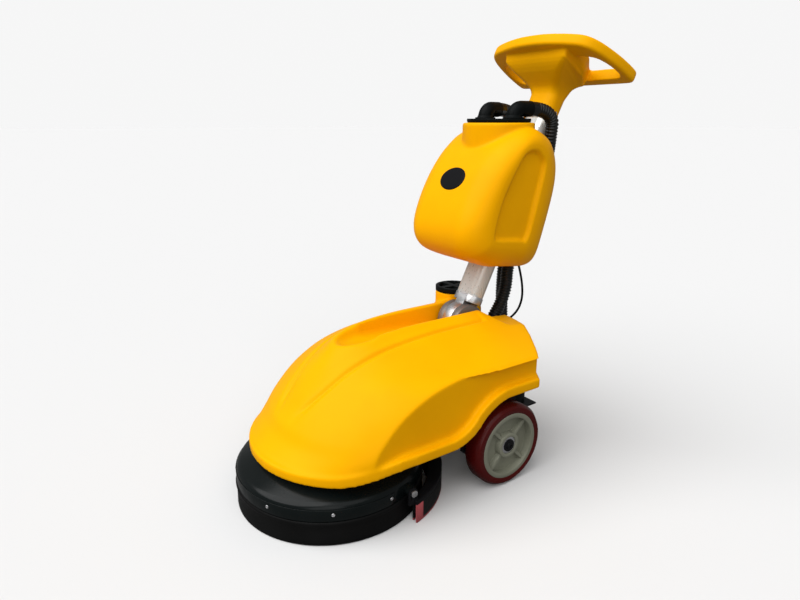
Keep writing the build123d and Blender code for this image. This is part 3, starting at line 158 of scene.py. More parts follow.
BRISTLE = finish_of(
    "bristle_nylon", (0.006, 0.006, 0.007), (0.012, 0.012, 0.014), (0.35, 0.5), 900, 0.2, shine=0.25
)
WINDOW = finish_of(
    "gauge_window", (0.005, 0.01, 0.008), (0.01, 0.018, 0.015), (0.06, 0.12), 300, 0.02
)
GREEN = finish_of("green_key", (0.015, 0.17, 0.03), (0.02, 0.22, 0.04), (0.25, 0.35), 500, 0.05)
KEY = finish_of(
    "black_key", (0.005, 0.005, 0.006), (0.009, 0.009, 0.01), (0.3, 0.4), 500, 0.03, shine=0.06
)

# The blades' faces are painted near-black as painted shade under the machine; only the wiping edges and the
# ends show the red of the rubber
tree = BLADE.node_tree
place = tree.nodes.new("ShaderNodeTexCoord")
parts = tree.nodes.new("ShaderNodeSeparateXYZ")
tree.links.new(place.outputs["Object"], parts.inputs["Vector"])
spread = tree.nodes.new("ShaderNodeMath")
spread.operation = "ABSOLUTE"
tree.links.new(parts.outputs["Y"], spread.inputs[0])
edges = []
for source, start, end in ((parts.outputs["Z"], 0.006, 0.004), (spread.outputs["Value"], 0.2205, 0.2215)):
    edge = tree.nodes.new("ShaderNodeMapRange")
    edge.inputs["From Min"].default_value = start
    edge.inputs["From Max"].default_value = end
    tree.links.new(source, edge.inputs["Value"])
    edges.append(edge)
either = tree.nodes.new("ShaderNodeMath")
either.operation = "MAXIMUM"
for edge, socket in zip(edges, either.inputs):
    tree.links.new(edge.outputs["Result"], socket)
painted_shade_and_red = tree.nodes.new("ShaderNodeMix")
painted_shade_and_red.data_type = "RGBA"
# near-black: painted shade over the blades' red rubber, away from the wiping edges and ends
painted_shade_and_red.inputs["A"].default_value = (0.006, 0.006, 0.006, 1)
tree.links.new(either.outputs["Value"], painted_shade_and_red.inputs["Factor"])
tree.links.new(tree.nodes["Color Ramp"].outputs["Color"], painted_shade_and_red.inputs["B"])
tree.links.new(painted_shade_and_red.outputs["Result"], tree.nodes["Principled BSDF"].inputs["Base Color"])

FINISHES = {
    YELLOW: ("solution_tank", "recovery_tank", "handle_frame"),
    DECK_BLACK: ("brush_deck", "deck_band"),
    BLACK: (
        "filler_cap", "tank_lid", "lid_elbows", "float_cage", "hose_joiner", "control_panel", "battery_pack",
        "vacuum_motor", "solution_valve", "squeegee_nozzle", "suction_pipe", "gearbox",
    ),
    RUBBER: ("splash_skirt", "lid_gasket", "solution_pipe"),
    HOSE: (
        "control_cable", "vacuum_hose_lower", "suction_hose_lower", "pickup_hose", "suction_hose_upper",
        "vacuum_hose_upper",
    ),
    COAT: ("chassis_frame", "squeegee_body", "axle_screws"),
    CAST: ("column_knuckle",),
    GREY: ("column_bracket", "brush_motor"),
    TUBE: ("column_tube", "tank_bracket"),
    STEEL: ("wheel_axle", "axle_spacers", "pivot_bolt", "squeegee_bolts", "bearings_left", "bearings_right"),
    TREAD: ("tyre_left", "tyre_right"),
    HUB: ("hub_left", "hub_right"),
    BLADE: ("front_blade", "rear_blade"),
    BLOCK: ("brush_disc", "brush_coupling"),
    BRISTLE: ("brush_bristles",),
    WINDOW: ("battery_gauge",),
    GREEN: ("power_button",),
    KEY: ("brush_button", "vacuum_button"),
}
for made, names in FINISHES.items():
    for name in names:
        nodes[name].data.materials.clear()
        nodes[name].data.materials.append(made)

# How mouldings are rounded, and light bevels on the nodes


def soften(obj, voxel, passes):
    """Rounds a moulding's edges."""
    remesh = obj.modifiers.new("remesh", "REMESH")
    remesh.mode = "VOXEL"
    remesh.voxel_size = voxel
    remesh.use_smooth_shade = True
    smooth = obj.modifiers.new("soften", "SMOOTH")
    smooth.factor = 0.5
    smooth.iterations = passes


for obj in nodes.values():
    weld = obj.modifiers.new("weld", "WELD")
    weld.merge_threshold = 0.00002
    bevel = obj.modifiers.new("bevel", "BEVEL")
    bevel.width = 0.0008
    bevel.segments = 2
    bevel.limit_method = "ANGLE"
    bevel.angle_limit = radians(38)
    bevel.harden_normals = True
    obj.data.shade_smooth()

# Mesh helpers


def add_mesh(name, verts, faces, made, smooth=True):
    mesh = bpy.data.meshes.new(name)
    mesh.from_pydata(verts, [], faces)
    mesh.validate()
    mesh.materials.append(made)
    if smooth:
        mesh.shade_smooth()
    obj = bpy.data.objects.new(name, mesh)
    scene.collection.objects.link(obj)
    return obj


def lathe(name, profile, centre, axis, made, sides=40):
    """Body turned from a profile of radius and height."""
    turn = Vector(axis).to_track_quat("Z", "X").to_matrix()
    verts = [
        Vector(centre) + turn @ Vector((r * cos(2 * pi * k / sides), r * sin(2 * pi * k / sides), h))
        for r, h in profile
        for k in range(sides)
    ]
    faces = [
        (i * sides + k, i * sides + (k + 1) % sides, (i + 1) * sides + (k + 1) % sides, (i + 1) * sides + k)
        for i in range(len(profile) - 1)
        for k in range(sides)
    ]
    faces.append(tuple(range(sides - 1, -1, -1)))
    faces.append(tuple((len(profile) - 1) * sides + k for k in range(sides)))
    return add_mesh(name, verts, faces, made)


def screw_head(name, centre, axis, radius, body, made=STEEL):
    """Pan head with a cross recess."""
    turn = Vector(axis).to_track_quat("Z", "X").to_matrix()
    rings, sides = 10, 32
    rise = 0.45 * radius
    verts = []
    for i in range(rings + 1):
        r = radius * (1 - i / rings)
        for k in range(sides):
            x, y = r * cos(2 * pi * k / sides), r * sin(2 * pi * k / sides)
            h = rise * sqrt(max(0.0, 1 - 0.75 * (r / radius) ** 2)) if i else 0.0
            if min(abs(x), abs(y)) < 0.13 * radius and r < 0.56 * radius:
                h -= 0.4 * rise
            verts.append(Vector(centre) + turn @ Vector((x, y, h)))
    faces = [
        (i * sides + k, i * sides + (k + 1) % sides, (i + 1) * sides + (k + 1) % sides, (i + 1) * sides + k)
        for i in range(rings)
        for k in range(sides)
    ]
    faces.append(tuple(range(sides - 1, -1, -1)))
    obj = add_mesh(name, verts, faces, made)
    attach(obj, body)
    return obj


# Mouldings, in millimetres from the axle


def blank(verts, faces):
    """Closed body that mouldings are cut from."""
    mesh = bpy.data.meshes.new("blank")
    mesh.from_pydata([Vector(v) * 0.001 + Vector((AXLE_X, 0, 0)) for v in verts], [], faces)
    shape = bmesh.new()
    shape.from_mesh(mesh)
    bmesh.ops.recalc_face_normals(shape, faces=shape.faces)
    shape.to_mesh(mesh)
    shape.free()
    obj = bpy.data.objects.new("blank", mesh)
    scene.collection.objects.link(obj)
    return obj


def stack(rings):
    """Closed skin over rings of equally many points."""
    count = len(rings[0])
    faces = [
        (i * count + k, i * count + (k + 1) % count, (i + 1) * count + (k + 1) % count, (i + 1) * count + k)
        for i in range(len(rings) - 1)
        for k in range(count)
    ]
    faces.append(tuple(range(count - 1, -1, -1)))
    faces.append(tuple((len(rings) - 1) * count + k for k in range(count)))
    return blank([point for ring in rings for point in ring], faces)


def upright(outline, low, high):
    return stack([[(x, y, z) for x, y in outline] for z in (low, high)])


def sideways(outline, half):
    return stack([[(x, y, z) for x, z in outline] for y in (-half, half)])


def block(low, high):
    plan = [(low[0], low[1]), (high[0], low[1]), (high[0], high[1]), (low[0], high[1])]
    return upright(plan, low[2], high[2])


def disc(x, y, radius, sides=64):
    turns = [2 * pi * k / sides for k in range(sides)]
    return [(x + radius * cos(a), y + radius * sin(a)) for a in turns]


def settle(obj):
    """Keeps what an object's modifiers make of it."""
    bpy.context.view_layer.update()
    mesh = bpy.data.meshes.new_from_object(obj.evaluated_get(bpy.context.evaluated_depsgraph_get()))
    obj.modifiers.clear()
    obj.data = mesh


def carve(obj, how, *tools):
    """Joins tools to a body, cuts them out of it or keeps what it shares with them."""
    for tool in tools:
        step = obj.modifiers.new("carve", "BOOLEAN")
        step.operation = how
        step.solver = "MANIFOLD"
        step.object = tool
        settle(obj)
        bpy.data.objects.remove(tool)


def moulded(obj, name, voxel, passes):
    """Rounds a carved body and lets it stand for its node."""
    soften(obj, voxel, passes)
    settle(obj)
    obj.name = f"{name}_moulding"
    obj.data.materials.clear()
    obj.data.materials.append(YELLOW)
    obj.data.shade_smooth()
    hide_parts(name)
    return obj


def ease(share):
    share = min(max(share, 0.0), 1.0)
    return share * share * (3 - 2 * share)


# Height, nose, start of the round front and half width of the body's plan outlines
BODY_RINGS = (
    (145, 509, 288, 231), (175, 477, 276, 240), (205, 459, 230, 248), (250, 422, 151, 254),
    (282, 390, 59, 252), (300, 372, 5, 236), (318, 355, -12, 194), (336, 337, 4, 151),
    (352, 321, 45, 112), (364, 296, 57, 83), (373, 263, 72, 56), (379, 217, 98, 22),
)
BODY_LOW, BODY_TOP = BODY_RINGS[0][0], BODY_RINGS[-1][0]
BODY_REAR = -153
FLANK, FLANK_TOP = 219, 300  # where the sides are cut flat over the lip
LIP_PLAN = (519, 270, 237, -159)  # nose, start of the round front, half width, rear
LIP_WALL, LIP_HEIGHT, LIP_ABOVE = 16, 25, 260
DIP, DIP_END, DIP_RUN = 24, 440, 155  # the lip dips at the nose
ARCH_START, ARCH_R, ARCH_TURN = 178, 114, radians(50)  # its rise over the wheel
AHEAD, BEHIND, BESIDE = 640, -300, 450  # clear of the body
SHELF = ((-45, 447), (-45, 379), (-61, 365), (-90, 347), (-213, 338), (-213, 447))
CHANNEL_AT, CHANNEL_SLOPE = (20, 322), radians(3.6)
CHANNEL_HALF, CHANNEL_RUN, CHANNEL_REACH, CHANNEL_BACK = 43, 220, 85, -380
# How the channel widens with the height over its floor
CHANNEL_LEVELS = ((0, -14), (1, -9), (4, -4.5), (9, -1.5), (16, 0), (40, 3), (200, 12))
FILLER, FILLER_R, FILLER_BORE = (-95, -98), 48, 40
FILLER_FOOT, FILLER_TOP = 300, 385
NOTCH_HALF, NOTCH_FRONT, NOTCH_TOP = 42, 20, 700  # room for the column
BAY_REAR, BAY_NOSE, BAY_HALF, BAY_R, BAY_TOP = 12, 400, 128, 90, 238  # motor bay
BATTERY_LOW, BATTERY_HIGH = (12.5, -127.5, 0), (232, 127.5, 275)
SPACE_X, SPACE_Y, SPACE_Z = (-128, 152), (64, 130), (284, 304)  # water under each flank
REAR_R = 397
FRONT_STEPS, REAR_STEPS = 64, 20


def body_outline(nose, start, half, rear):
    """Plan outline: round front, straight sides and a bowed back."""
    turns = [radians(180 * i / FRONT_STEPS - 90) for i in range(FRONT_STEPS + 1)]
    front = [(start + (nose - start) * cos(a), half * sin(a)) for a in turns]
    across = [half * (1 - 2 * i / REAR_STEPS) for i in range(REAR_STEPS + 1)]
    return front + [(rear + REAR_R - sqrt(REAR_R**2 - y * y), y) for y in across]


def ring_at(height):
    """Nose, round start and half width at a height, on smooth lines through the rings."""
    i = max(k for k in range(len(BODY_RINGS) - 1) if BODY_RINGS[k][0] <= height)
    low, high = BODY_RINGS[i], BODY_RINGS[i + 1]
    before, after = BODY_RINGS[max(i - 1, 0)], BODY_RINGS[min(i + 2, len(BODY_RINGS) - 1)]
    span = high[0] - low[0]
    t = (height - low[0]) / span
    found = []
    for k in (1, 2, 3):
        leave = span * (high[k] - before[k]) / (high[0] - before[0])
        arrive = span * (after[k] - low[k]) / (after[0] - low[0])
        rise = high[k] - low[k]
        bend, twist = 3 * rise - 2 * leave - arrive, leave + arrive - 2 * rise
        found.append(low[k] + leave * t + bend * t**2 + twist * t**3)
    return found


def lower_edge(edge, low_r, high_r):
    """Lower edge of the body in side view, from its nose back: a dip, then the rise over the wheel."""
    line = [(AHEAD, edge - DIP), (DIP_END, edge - DIP)]
    line += [(DIP_END - DIP_RUN * i / 14, edge - DIP + DIP * ease(i / 14)) for i in range(1, 15)]
    for i in range(13):
        a = ARCH_TURN * i / 12
        line.append((ARCH_START - low_r * sin(a), edge + low_r * (1 - cos(a))))
    x, z = line[-1]
    for i in range(1, 13):
        a = ARCH_TURN * (1 - i / 12)
        rise = cos(a) - cos(ARCH_TURN)
        line.append((x - high_r * (sin(ARCH_TURN) - sin(a)), z + high_r * rise))
    return line + [(BEHIND, line[-1][1])]


heights = [BODY_LOW + (BODY_TOP - BODY_LOW) * i / 60 for i in range(60)] + [BODY_TOP - 0.1]
body = stack([[(x, y, z) for x, y in body_outline(*ring_at(z), BODY_REAR)] for z in heights])
carve(
    body,
    "DIFFERENCE",
    block((-BESIDE, FLANK, 0), (BESIDE, BESIDE, FLANK_TOP)),
    block((-BESIDE, -BESIDE, 0), (BESIDE, -FLANK, FLANK_TOP)),
)
arch = lower_edge(BODY_LOW, ARCH_R, ARCH_R)
nose, start, half, rear = LIP_PLAN
inside = (nose - LIP_WALL, start, half - LIP_WALL, rear + LIP_WALL)
lip = upright(body_outline(*LIP_PLAN), BODY_LOW - DIP, LIP_ABOVE)
band = lower_edge(BODY_LOW + LIP_HEIGHT, ARCH_R - LIP_HEIGHT, ARCH_R + LIP_HEIGHT) + arch[::-1]
carve(lip, "INTERSECT", sideways(band, BESIDE))
carve(lip, "DIFFERENCE", upright(body_outline(*inside), 0, BODY_LOW))
carve(body, "UNION", lip)
carve(body, "DIFFERENCE", sideways(arch + [(BEHIND, 0), (AHEAD, 0)], BESIDE))
carve(body, "DIFFERENCE", sideways(SHELF, BESIDE))
levels = []
for h, grow in CHANNEL_LEVELS:
    half, reach = CHANNEL_HALF + grow, CHANNEL_REACH + 2 * grow
    plan = [(CHANNEL_BACK, -half)]
    plan += [
        (CHANNEL_RUN + reach * cos(a), half * sin(a)) for a in (radians(9 * i - 90) for i in range(21))
    ]
    plan += [(CHANNEL_BACK, half)]
    x, z = CHANNEL_AT
    level = []
    for s, y in plan:
        ahead = s * cos(CHANNEL_SLOPE) - h * sin(CHANNEL_SLOPE)
        rise = s * sin(CHANNEL_SLOPE) + h * cos(CHANNEL_SLOPE)
        level.append((x + ahead, y, z + rise))
    levels.append(level)
carve(body, "DIFFERENCE", stack(levels))
carve(body, "UNION", upright(disc(*FILLER, FILLER_R), FILLER_FOOT, FILLER_TOP))
corner = [
    (BAY_NOSE - BAY_R + BAY_R * sin(a), BAY_HALF - BAY_R + BAY_R * cos(a))
    for a in (radians(9 * i) for i in range(11))
]
bay = [(BAY_REAR, -BAY_HALF), (BAY_REAR, BAY_HALF)] + corner + [(x, -y) for x, y in reversed(corner)]
carve(
    body,
    "DIFFERENCE",
    block((-BESIDE, -NOTCH_HALF, 0), (NOTCH_FRONT, NOTCH_HALF, NOTCH_TOP)),
    upright(bay, 0, BAY_TOP),
    block(BATTERY_LOW, BATTERY_HIGH),
    upright(disc(*FILLER, FILLER_BORE), FILLER_FOOT - 10, FILLER_TOP + 15),
    block((SPACE_X[0], -SPACE_Y[1], SPACE_Z[0]), (SPACE_X[1], -SPACE_Y[0], SPACE_Z[1])),
    block((SPACE_X[0], SPACE_Y[0], SPACE_Z[0]), (SPACE_X[1], SPACE_Y[1], SPACE_Z[1])),
)
moulded(body, "solution_tank", 0.003, 14)
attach(body, "base")

# The hood lies a little lower than the flanks, with a groove between
HOOD_STEP, HOOD_GROOVE, HOOD_HALF, HOOD_ROUND, HOOD_REACH = 2.5, 8.5, 88, 182, 466
HOOD_EDGE, HOOD_EASE, GROOVE_WIDTH, CHANNEL_FADE = 16, 9, 4.5, 26
HOOD_HEART = Vector((150, 0, 60))
for vert in body.data.vertices:
    x, y, z = (vert.co - Vector((AXLE_X, 0, 0))) * 1000
    if z < 168 or vert.normal.z < 0.03 or x < -40:
        continue
    outward = (Vector((x, y, z)) - HOOD_HEART).normalized()
    ahead = max(x - HOOD_ROUND, 0) / (HOOD_REACH - HOOD_ROUND)
    inside = HOOD_HALF * (1 - hypot(ahead, y / HOOD_HALF))
    from_mouth = max(x - CHANNEL_AT[0] - CHANNEL_RUN, 0) / CHANNEL_REACH
    clear = CHANNEL_HALF * (hypot(from_mouth, y / CHANNEL_HALF) - 1) - 3
    if inside > -HOOD_EDGE and clear > 0:
        groove = exp(-((inside / GROOVE_WIDTH) ** 2)) * ease((1 - ahead) / 0.2)
        depth = HOOD_STEP * ease(inside / HOOD_EASE) + HOOD_GROOVE * groove
        vert.co -= outward * (0.001 * depth * ease(clear / CHANNEL_FADE))

# The channel fades out towards the nose
shape = bmesh.new()
shape.from_mesh(body.data)
MOUTH_X, MOUTH_LONG, MOUTH_WIDE = 0.212, 0.075, 0.06
mouth = [
    v
    for v in shape.verts
    if hypot((v.co.x - MOUTH_X) / MOUTH_LONG, v.co.y / MOUTH_WIDE) < 1 and v.co.z > 0.3 and v.normal.z > 0
]
axes = {"use_axis_x": True, "use_axis_y": True, "use_axis_z": True}
for _ in range(60):
    bmesh.ops.smooth_vert(shape, verts=mouth, factor=0.5, **axes)
shape.to_mesh(body.data)
shape.free()

# Recovery tank: side outlines in the column's frame, ahead of its middle and along it
TANK_MIDDLE = (
    (60, 140), (120, 135), (150, 141), (170, 156), (183, 180), (189, 210), (191.5, 245), (191, 280),
    (188, 315), (182, 350), (172, 385), (156, 419), (139, 445), (119, 464), (96, 477), (70, 481),
    (40, 479), (12, 468), (-12, 448), (-30, 420), (-42, 388), (-51, 350), (-60, 300), (-68, 250),
    (-72, 215), (-67, 192), (-46, 177), (-4, 162), (30, 150),
)
TANK_PANEL = (
    (95, 424), (122, 403), (133, 350), (137, 292), (130, 238), (119, 200), (104, 196), (40, 218),
    (17, 230), (24, 295), (38, 362), (52, 408), (69, 421),
)
HINGE_X, HINGE_Z = -36, 336  # where the column's frame starts
TANK_HEART = Vector((80, 305))
TANK_HALF, TANK_EDGE = 130, 64
NECK_X, NECK_R, NECK_BORE = -140, 86, 70
NECK_FOOT, NECK_TOP, NECK_DEPTH = 690, 815, 740
# Slots for the column and its hoses, and the hollow, as outlines and half widths
TANK_CUTS = (
    (((27, 60), (27, 640), (-240, 640), (-240, 60)), 40),
    (((-20, 60), (-20, 640), (-240, 640), (-240, 60)), 46),
    (((40, 198), (150, 182), (160, 335), (122, 428), (40, 428)), 94),
)


def column_point(ahead, side, along):
    return (
        HINGE_X + ahead * cos(LEAN) - along * sin(LEAN),
        side,
        HINGE_Z + ahead * sin(LEAN) + along * cos(LEAN),
    )


def rounded(points, cuts):
    """Closed smooth line through points."""
    count = len(points)
    line = []
    for i in range(count):
        a, b, c, d = (Vector(points[(i + k - 1) % count]) for k in range(4))
        for j in range(cuts):
            t = j / cuts
            bend, twist = 2 * a - 5 * b + 4 * c - d, 3 * b - a - 3 * c + d
            line.append(b + 0.5 * ((c - a) * t + bend * t * t + twist * t**3))
    return line


def bearing(point):
    return atan2(point[1] - TANK_HEART.y, point[0] - TANK_HEART.x)


PANEL_LINE = sorted((bearing(p), (p - TANK_HEART).length) for p in rounded(TANK_PANEL, 8))


def panel_reach(angle):
    """Distance from the heart of the side to the panel's edge."""
    after = next((i for i, (a, _) in enumerate(PANEL_LINE) if a > angle), 0)
    (a0, r0), (a1, r1) = PANEL_LINE[after - 1], PANEL_LINE[after]
    span = (a1 - a0) % (2 * pi)
    return r0 + (r1 - r0) * ((angle - a0) % (2 * pi)) / span


middle = rounded(TANK_MIDDLE, 5)
sides = [TANK_HEART + (p - TANK_HEART).normalized() * (panel_reach(bearing(p)) + 6) for p in middle]
stations = [(-1, radians(90 - 6 * i)) for i in range(15)] + [(1, radians(6 * i)) for i in range(16)]
rings = []
for side, a in stations:
    out = side * (TANK_HALF - TANK_EDGE + TANK_EDGE * sin(a))
    ring = [p.lerp(q, 1 - cos(a)) for p, q in zip(middle, sides)]
    rings.append([column_point(p.x, out, p.y) for p in ring])
tank = stack(rings)


def across_column(outline, half):
    return stack([[column_point(u, y, w) for u, w in outline] for y in (-half, half)])


neck_plan = disc(NECK_X, 0, NECK_R, 96)
carve(tank, "UNION", upright(neck_plan, NECK_FOOT, NECK_TOP))
carve(tank, "DIFFERENCE", *[across_column(outline, half) for outline, half in TANK_CUTS])
carve(tank, "DIFFERENCE", upright(disc(NECK_X, 0, NECK_BORE, 96), NECK_DEPTH, NECK_TOP + 15))
moulded(tank, "recovery_tank", 0.003, 12)
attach(tank, "column")
PANEL_DEPTH, PANEL_SLOPE = 9, 12
for vert in tank.data.vertices:
    x, y, z = (vert.co - Vector((AXLE_X, 0, 0))) * 1000
    if abs(y) < 108:
        continue
    flat = Vector((x - HINGE_X, z - HINGE_Z))
    spot = Vector((flat.x * cos(LEAN) + flat.y * sin(LEAN), flat.y * cos(LEAN) - flat.x * sin(LEAN)))
    depth = panel_reach(bearing(spot)) - (spot - TANK_HEART).length
    if depth > 0:
        vert.co.y -= (1 if y > 0 else -1) * 0.001 * PANEL_DEPTH * ease(depth / PANEL_SLOPE)

# Handle: a round ring, and a console that flares out of the neck, in the column's frame

RING_EDGE = (
    (127.5, 0), (126, 40), (120.5, 76), (113, 108), (104, 134), (90, 151), (69, 163), (44, 171),
    (4, 179), (-34, 182), (-62, 181), (-72, 173), (-74, 150), (-74, 100), (-74, 50), (-74, 0),
)
# Place along the column and inset of the ring's outline
RING_LEVELS = (
    (669, 7), (670, 3.6), (672, 1.4), (675, 0.2), (683, 0), (691, 0.2), (694.5, 1.6), (697, 4.4), (698, 8),
)
FINGER_HOLE = (
    (60, 104), (57, 122), (45, 146), (20, 159), (-10, 165), (-32, 163), (-45, 150), (-46, 100),
    (-46, 62), (-30, 66), (10, 92), (40, 99),
)
KEY_AHEAD, KEY_PITCH, KEY_SEAT_R, KEY_SEAT_LOW = 8, 34, 11, 688
BORE = (-23.8, 23.8, 38.8, 38.8, 23.7)  # round the column tube
BORE_TOP = 610.5
# Place along the column, rear, front, half widths at the front and the rear, and corner radius
CONSOLE = (
    (540, -28, 28, 43, 43, 25), (600, -28, 28, 43, 43, 22), (608, -28, 31, 44, 43, 19),
    (614, -28.5, 36, 46, 43, 16), (620, -29, 45, 51, 43.5, 14), (627, -30, 58, 60, 44, 12),
    (634, -31, 71, 71, 46, 11), (641, -33, 81, 82, 52, 10), (647, -36, 88, 90, 60, 9),
    (651, -40, 91, 94, 70, 8), (653, -44, 93, 97, 80, 8), (676, -46, 103, 98, 96, 8),
    (690, -46, 106, 98, 96, 8),
)


def shifted(line, inset):
    """Closed line moved inward."""
    moved = []
    for i, point in enumerate(line):
        way = line[(i + 1) % len(line)] - line[i - 1]
        moved.append(point + Vector((-way.y, way.x)).normalized() * inset)
    return moved


def slab(rear, front, half, rear_half, corner):
    """Outline of a console section with round corners."""
    line = []
    for u, y, turn in (
        (front - corner, half - corner, 0),
        (rear + corner, rear_half - corner, 90),
        (rear + corner, corner - rear_half, 180),
        (front - corner, corner - half, 270),
    ):
        for a in (radians(turn + 9 * i) for i in range(11)):
            line.append(Vector((u, y)) + corner * Vector((cos(a), sin(a))))
    return line


def column_stack(*levels):
    return stack([[column_point(point[0], point[1], w) for point in line] for w, line in levels])


outline = rounded([*RING_EDGE, *[(u, -y) for u, y in reversed(RING_EDGE[1:-1])]], 4)
handle = column_stack(*[(w, shifted(outline, inset)) for w, inset in RING_LEVELS])
carve(handle, "UNION", column_stack(*[(w, slab(*sizes)) for w, *sizes in CONSOLE]))
for side in (1, -1):
    hole = rounded([(u, side * y) for u, y in FINGER_HOLE], 4)
    carve(handle, "DIFFERENCE", column_stack((610, hole), (730, hole)))
for place in (-KEY_PITCH, 0, KEY_PITCH):
    seat = disc(KEY_AHEAD, place, KEY_SEAT_R)
    carve(handle, "DIFFERENCE", column_stack((KEY_SEAT_LOW, seat), (730, seat)))
bore = slab(*BORE)
carve(handle, "DIFFERENCE", column_stack((500, bore), (BORE_TOP, bore)))
moulded(handle, "handle_frame", 0.002, 5)
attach(handle, "column")

# Hoses and cable: smooth lines with the routes' points


def line_of(points):
    """Points along the smooth curve of a route, read from its spline."""
    data = bpy.data.curves.new("route", "CURVE")
    data.dimensions = "3D"
    data.resolution_u = 40
    spline = data.splines.new("NURBS")
    spline.points.add(len(points) - 1)
    for spot, point in zip(spline.points, points):
        spot.co = (*point, 1)
    spline.order_u = 3
    spline.use_endpoint_u = True
    holder = bpy.data.objects.new("route", data)
    mesh = bpy.data.meshes.new_from_object(holder)
    line = [v.co.copy() for v in mesh.vertices]
    bpy.data.objects.remove(holder)
    bpy.data.meshes.remove(mesh)
    return line


def along(line, distance):
    """Point at a distance along a line of points."""
    for a, b in zip(line, line[1:]):
        step = (b - a).length
        if distance <= step:
            return a.lerp(b, distance / step) if step else a.copy()
        distance -= step
    return line[-1].copy()


def length_of(line):
    return sum((b - a).length for a, b in zip(line, line[1:]))


def tube(name, line, radii, sides, made):
    """Skin round a line, with a radius at each of many even stations."""
    total = length_of(line)
    spots = [along(line, total * i / (len(radii) - 1)) for i in range(len(radii))]
    last = len(spots) - 1
    ahead = [(spots[min(i + 1, last)] - spots[max(i - 1, 0)]).normalized() for i in range(last + 1)]
    side = ahead[0].orthogonal().normalized()
    verts = []
    for spot, way, radius in zip(spots, ahead, radii):
        side = (side - way * side.dot(way)).normalized()
        up = way.cross(side)
        for k in range(sides):
            a = 2 * pi * k / sides
            verts.append(spot + radius * (cos(a) * side + sin(a) * up))
    faces = [
        (i * sides + k, i * sides + (k + 1) % sides, (i + 1) * sides + (k + 1) % sides, (i + 1) * sides + k)
        for i in range(len(spots) - 1)
        for k in range(sides)
    ]
    faces.append(tuple(range(sides - 1, -1, -1)))
    faces.append(tuple((len(spots) - 1) * sides + k for k in range(sides)))
    return add_mesh(name, verts, faces, made), spots


HOSE_R = 0.0165
RIB_PITCH = 0.0074
RIB_DEPTH = 0.0029
CUFF = 0.018


def rib_radii(total):
    """Radius at each station of a ribbed hose with plain cuffs."""
    count = round(total / RIB_PITCH) * 6
    radii = []
    for i in range(count + 1):
        at = total * i / count
        if at < CUFF or at > total - CUFF:
            radii.append(HOSE_R)
        else:
            wave = 0.5 - 0.5 * cos(2 * pi * (at - CUFF) / RIB_PITCH)
            radii.append(HOSE_R - RIB_DEPTH * (1 - wave**0.6))
    return radii


ROUTES = {
    "vacuum_hose_upper": (
        (-0.2595, 0.0547, 0.846), (-0.330, 0.0645, 0.846), (-0.334, 0.054, 0.765), (-0.362, 0.022, 0.712),
        (-0.3520, 0.022, 0.6780),
    ),
    "suction_hose_upper": (
        (-0.2595, -0.0547, 0.846), (-0.330, -0.0645, 0.846), (-0.334, -0.054, 0.765), (-0.362, -0.022, 0.712),
        (-0.3520, -0.022, 0.6780),
    ),
    "vacuum_hose_lower": (
        (-0.3387, 0.022, 0.6512), (-0.3164, 0.022, 0.6064), (-0.2425, 0.022, 0.4757), (-0.245, 0.02, 0.385),
        (-0.18, 0.02, 0.3), (-0.18, 0.02, 0.262),
    ),
    "suction_hose_lower": (
        (-0.3387, -0.022, 0.6512), (-0.3097, -0.022, 0.593), (-0.277, -0.022, 0.49), (-0.27, -0.022, 0.39),
        (-0.277, -0.022, 0.3), (-0.262, 0.0, 0.205), (-0.262, 0.0, 0.15),
    ),
    "pickup_hose": ((-0.112, 0.0, 0.054), (-0.076, 0.0, 0.054), (-0.043, 0.0, 0.074), (-0.009, 0.0, 0.074)),
}
CABLE_R = 0.003
CABLE = (
    (-0.3603, 0.001, 0.6404), (-0.3469, 0.001, 0.6136), (-0.286, 0.001, 0.507), (-0.330, 0.001, 0.390),
    (-0.323, 0.001, 0.330), (-0.274, 0.001, 0.301), (-0.212, 0.001, 0.285), (-0.212, 0.001, 0.145),
)
# The bodies that each piece bends between, where it leaves the first and where it has joined the second
BENDS = {
    "vacuum_hose_upper": ("lid", "column", (-0.29, 0.06, 0.846), (-0.345, 0.04, 0.73)),
    "suction_hose_upper": ("lid", "column", (-0.29, -0.06, 0.846), (-0.345, -0.04, 0.73)),
    "vacuum_hose_lower": ("column", "base", (-0.32, 0.022, 0.612), (-0.19, 0.02, 0.33)),
    "suction_hose_lower": ("column", "base", (-0.315, -0.022, 0.605), (-0.27, 0.0, 0.22)),
    "pickup_hose": ("base", "squeegee", (-0.09, 0, 0.056), (-0.03, 0, 0.072)),
    "control_cable": ("column", "base", (-0.345, 0.0, 0.61), (-0.25, 0.0, 0.30)),
}
for name, points in ROUTES.items():
    line = line_of(points)
    hose, spots = tube(f"{name}_ribbed", line, rib_radii(length_of(line)), 28, HOSE)
    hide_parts(name)
    first, second, start, end = BENDS[name]
    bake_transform(hose)
line = line_of(CABLE)
cable, spots = tube("control_cable_sheath", line, [CABLE_R] * 160, 16, RUBBER)
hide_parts("control_cable")
first, second, start, end = BENDS["control_cable"]
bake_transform(cable)

# Lid elbows, and a motor that fits under the hood

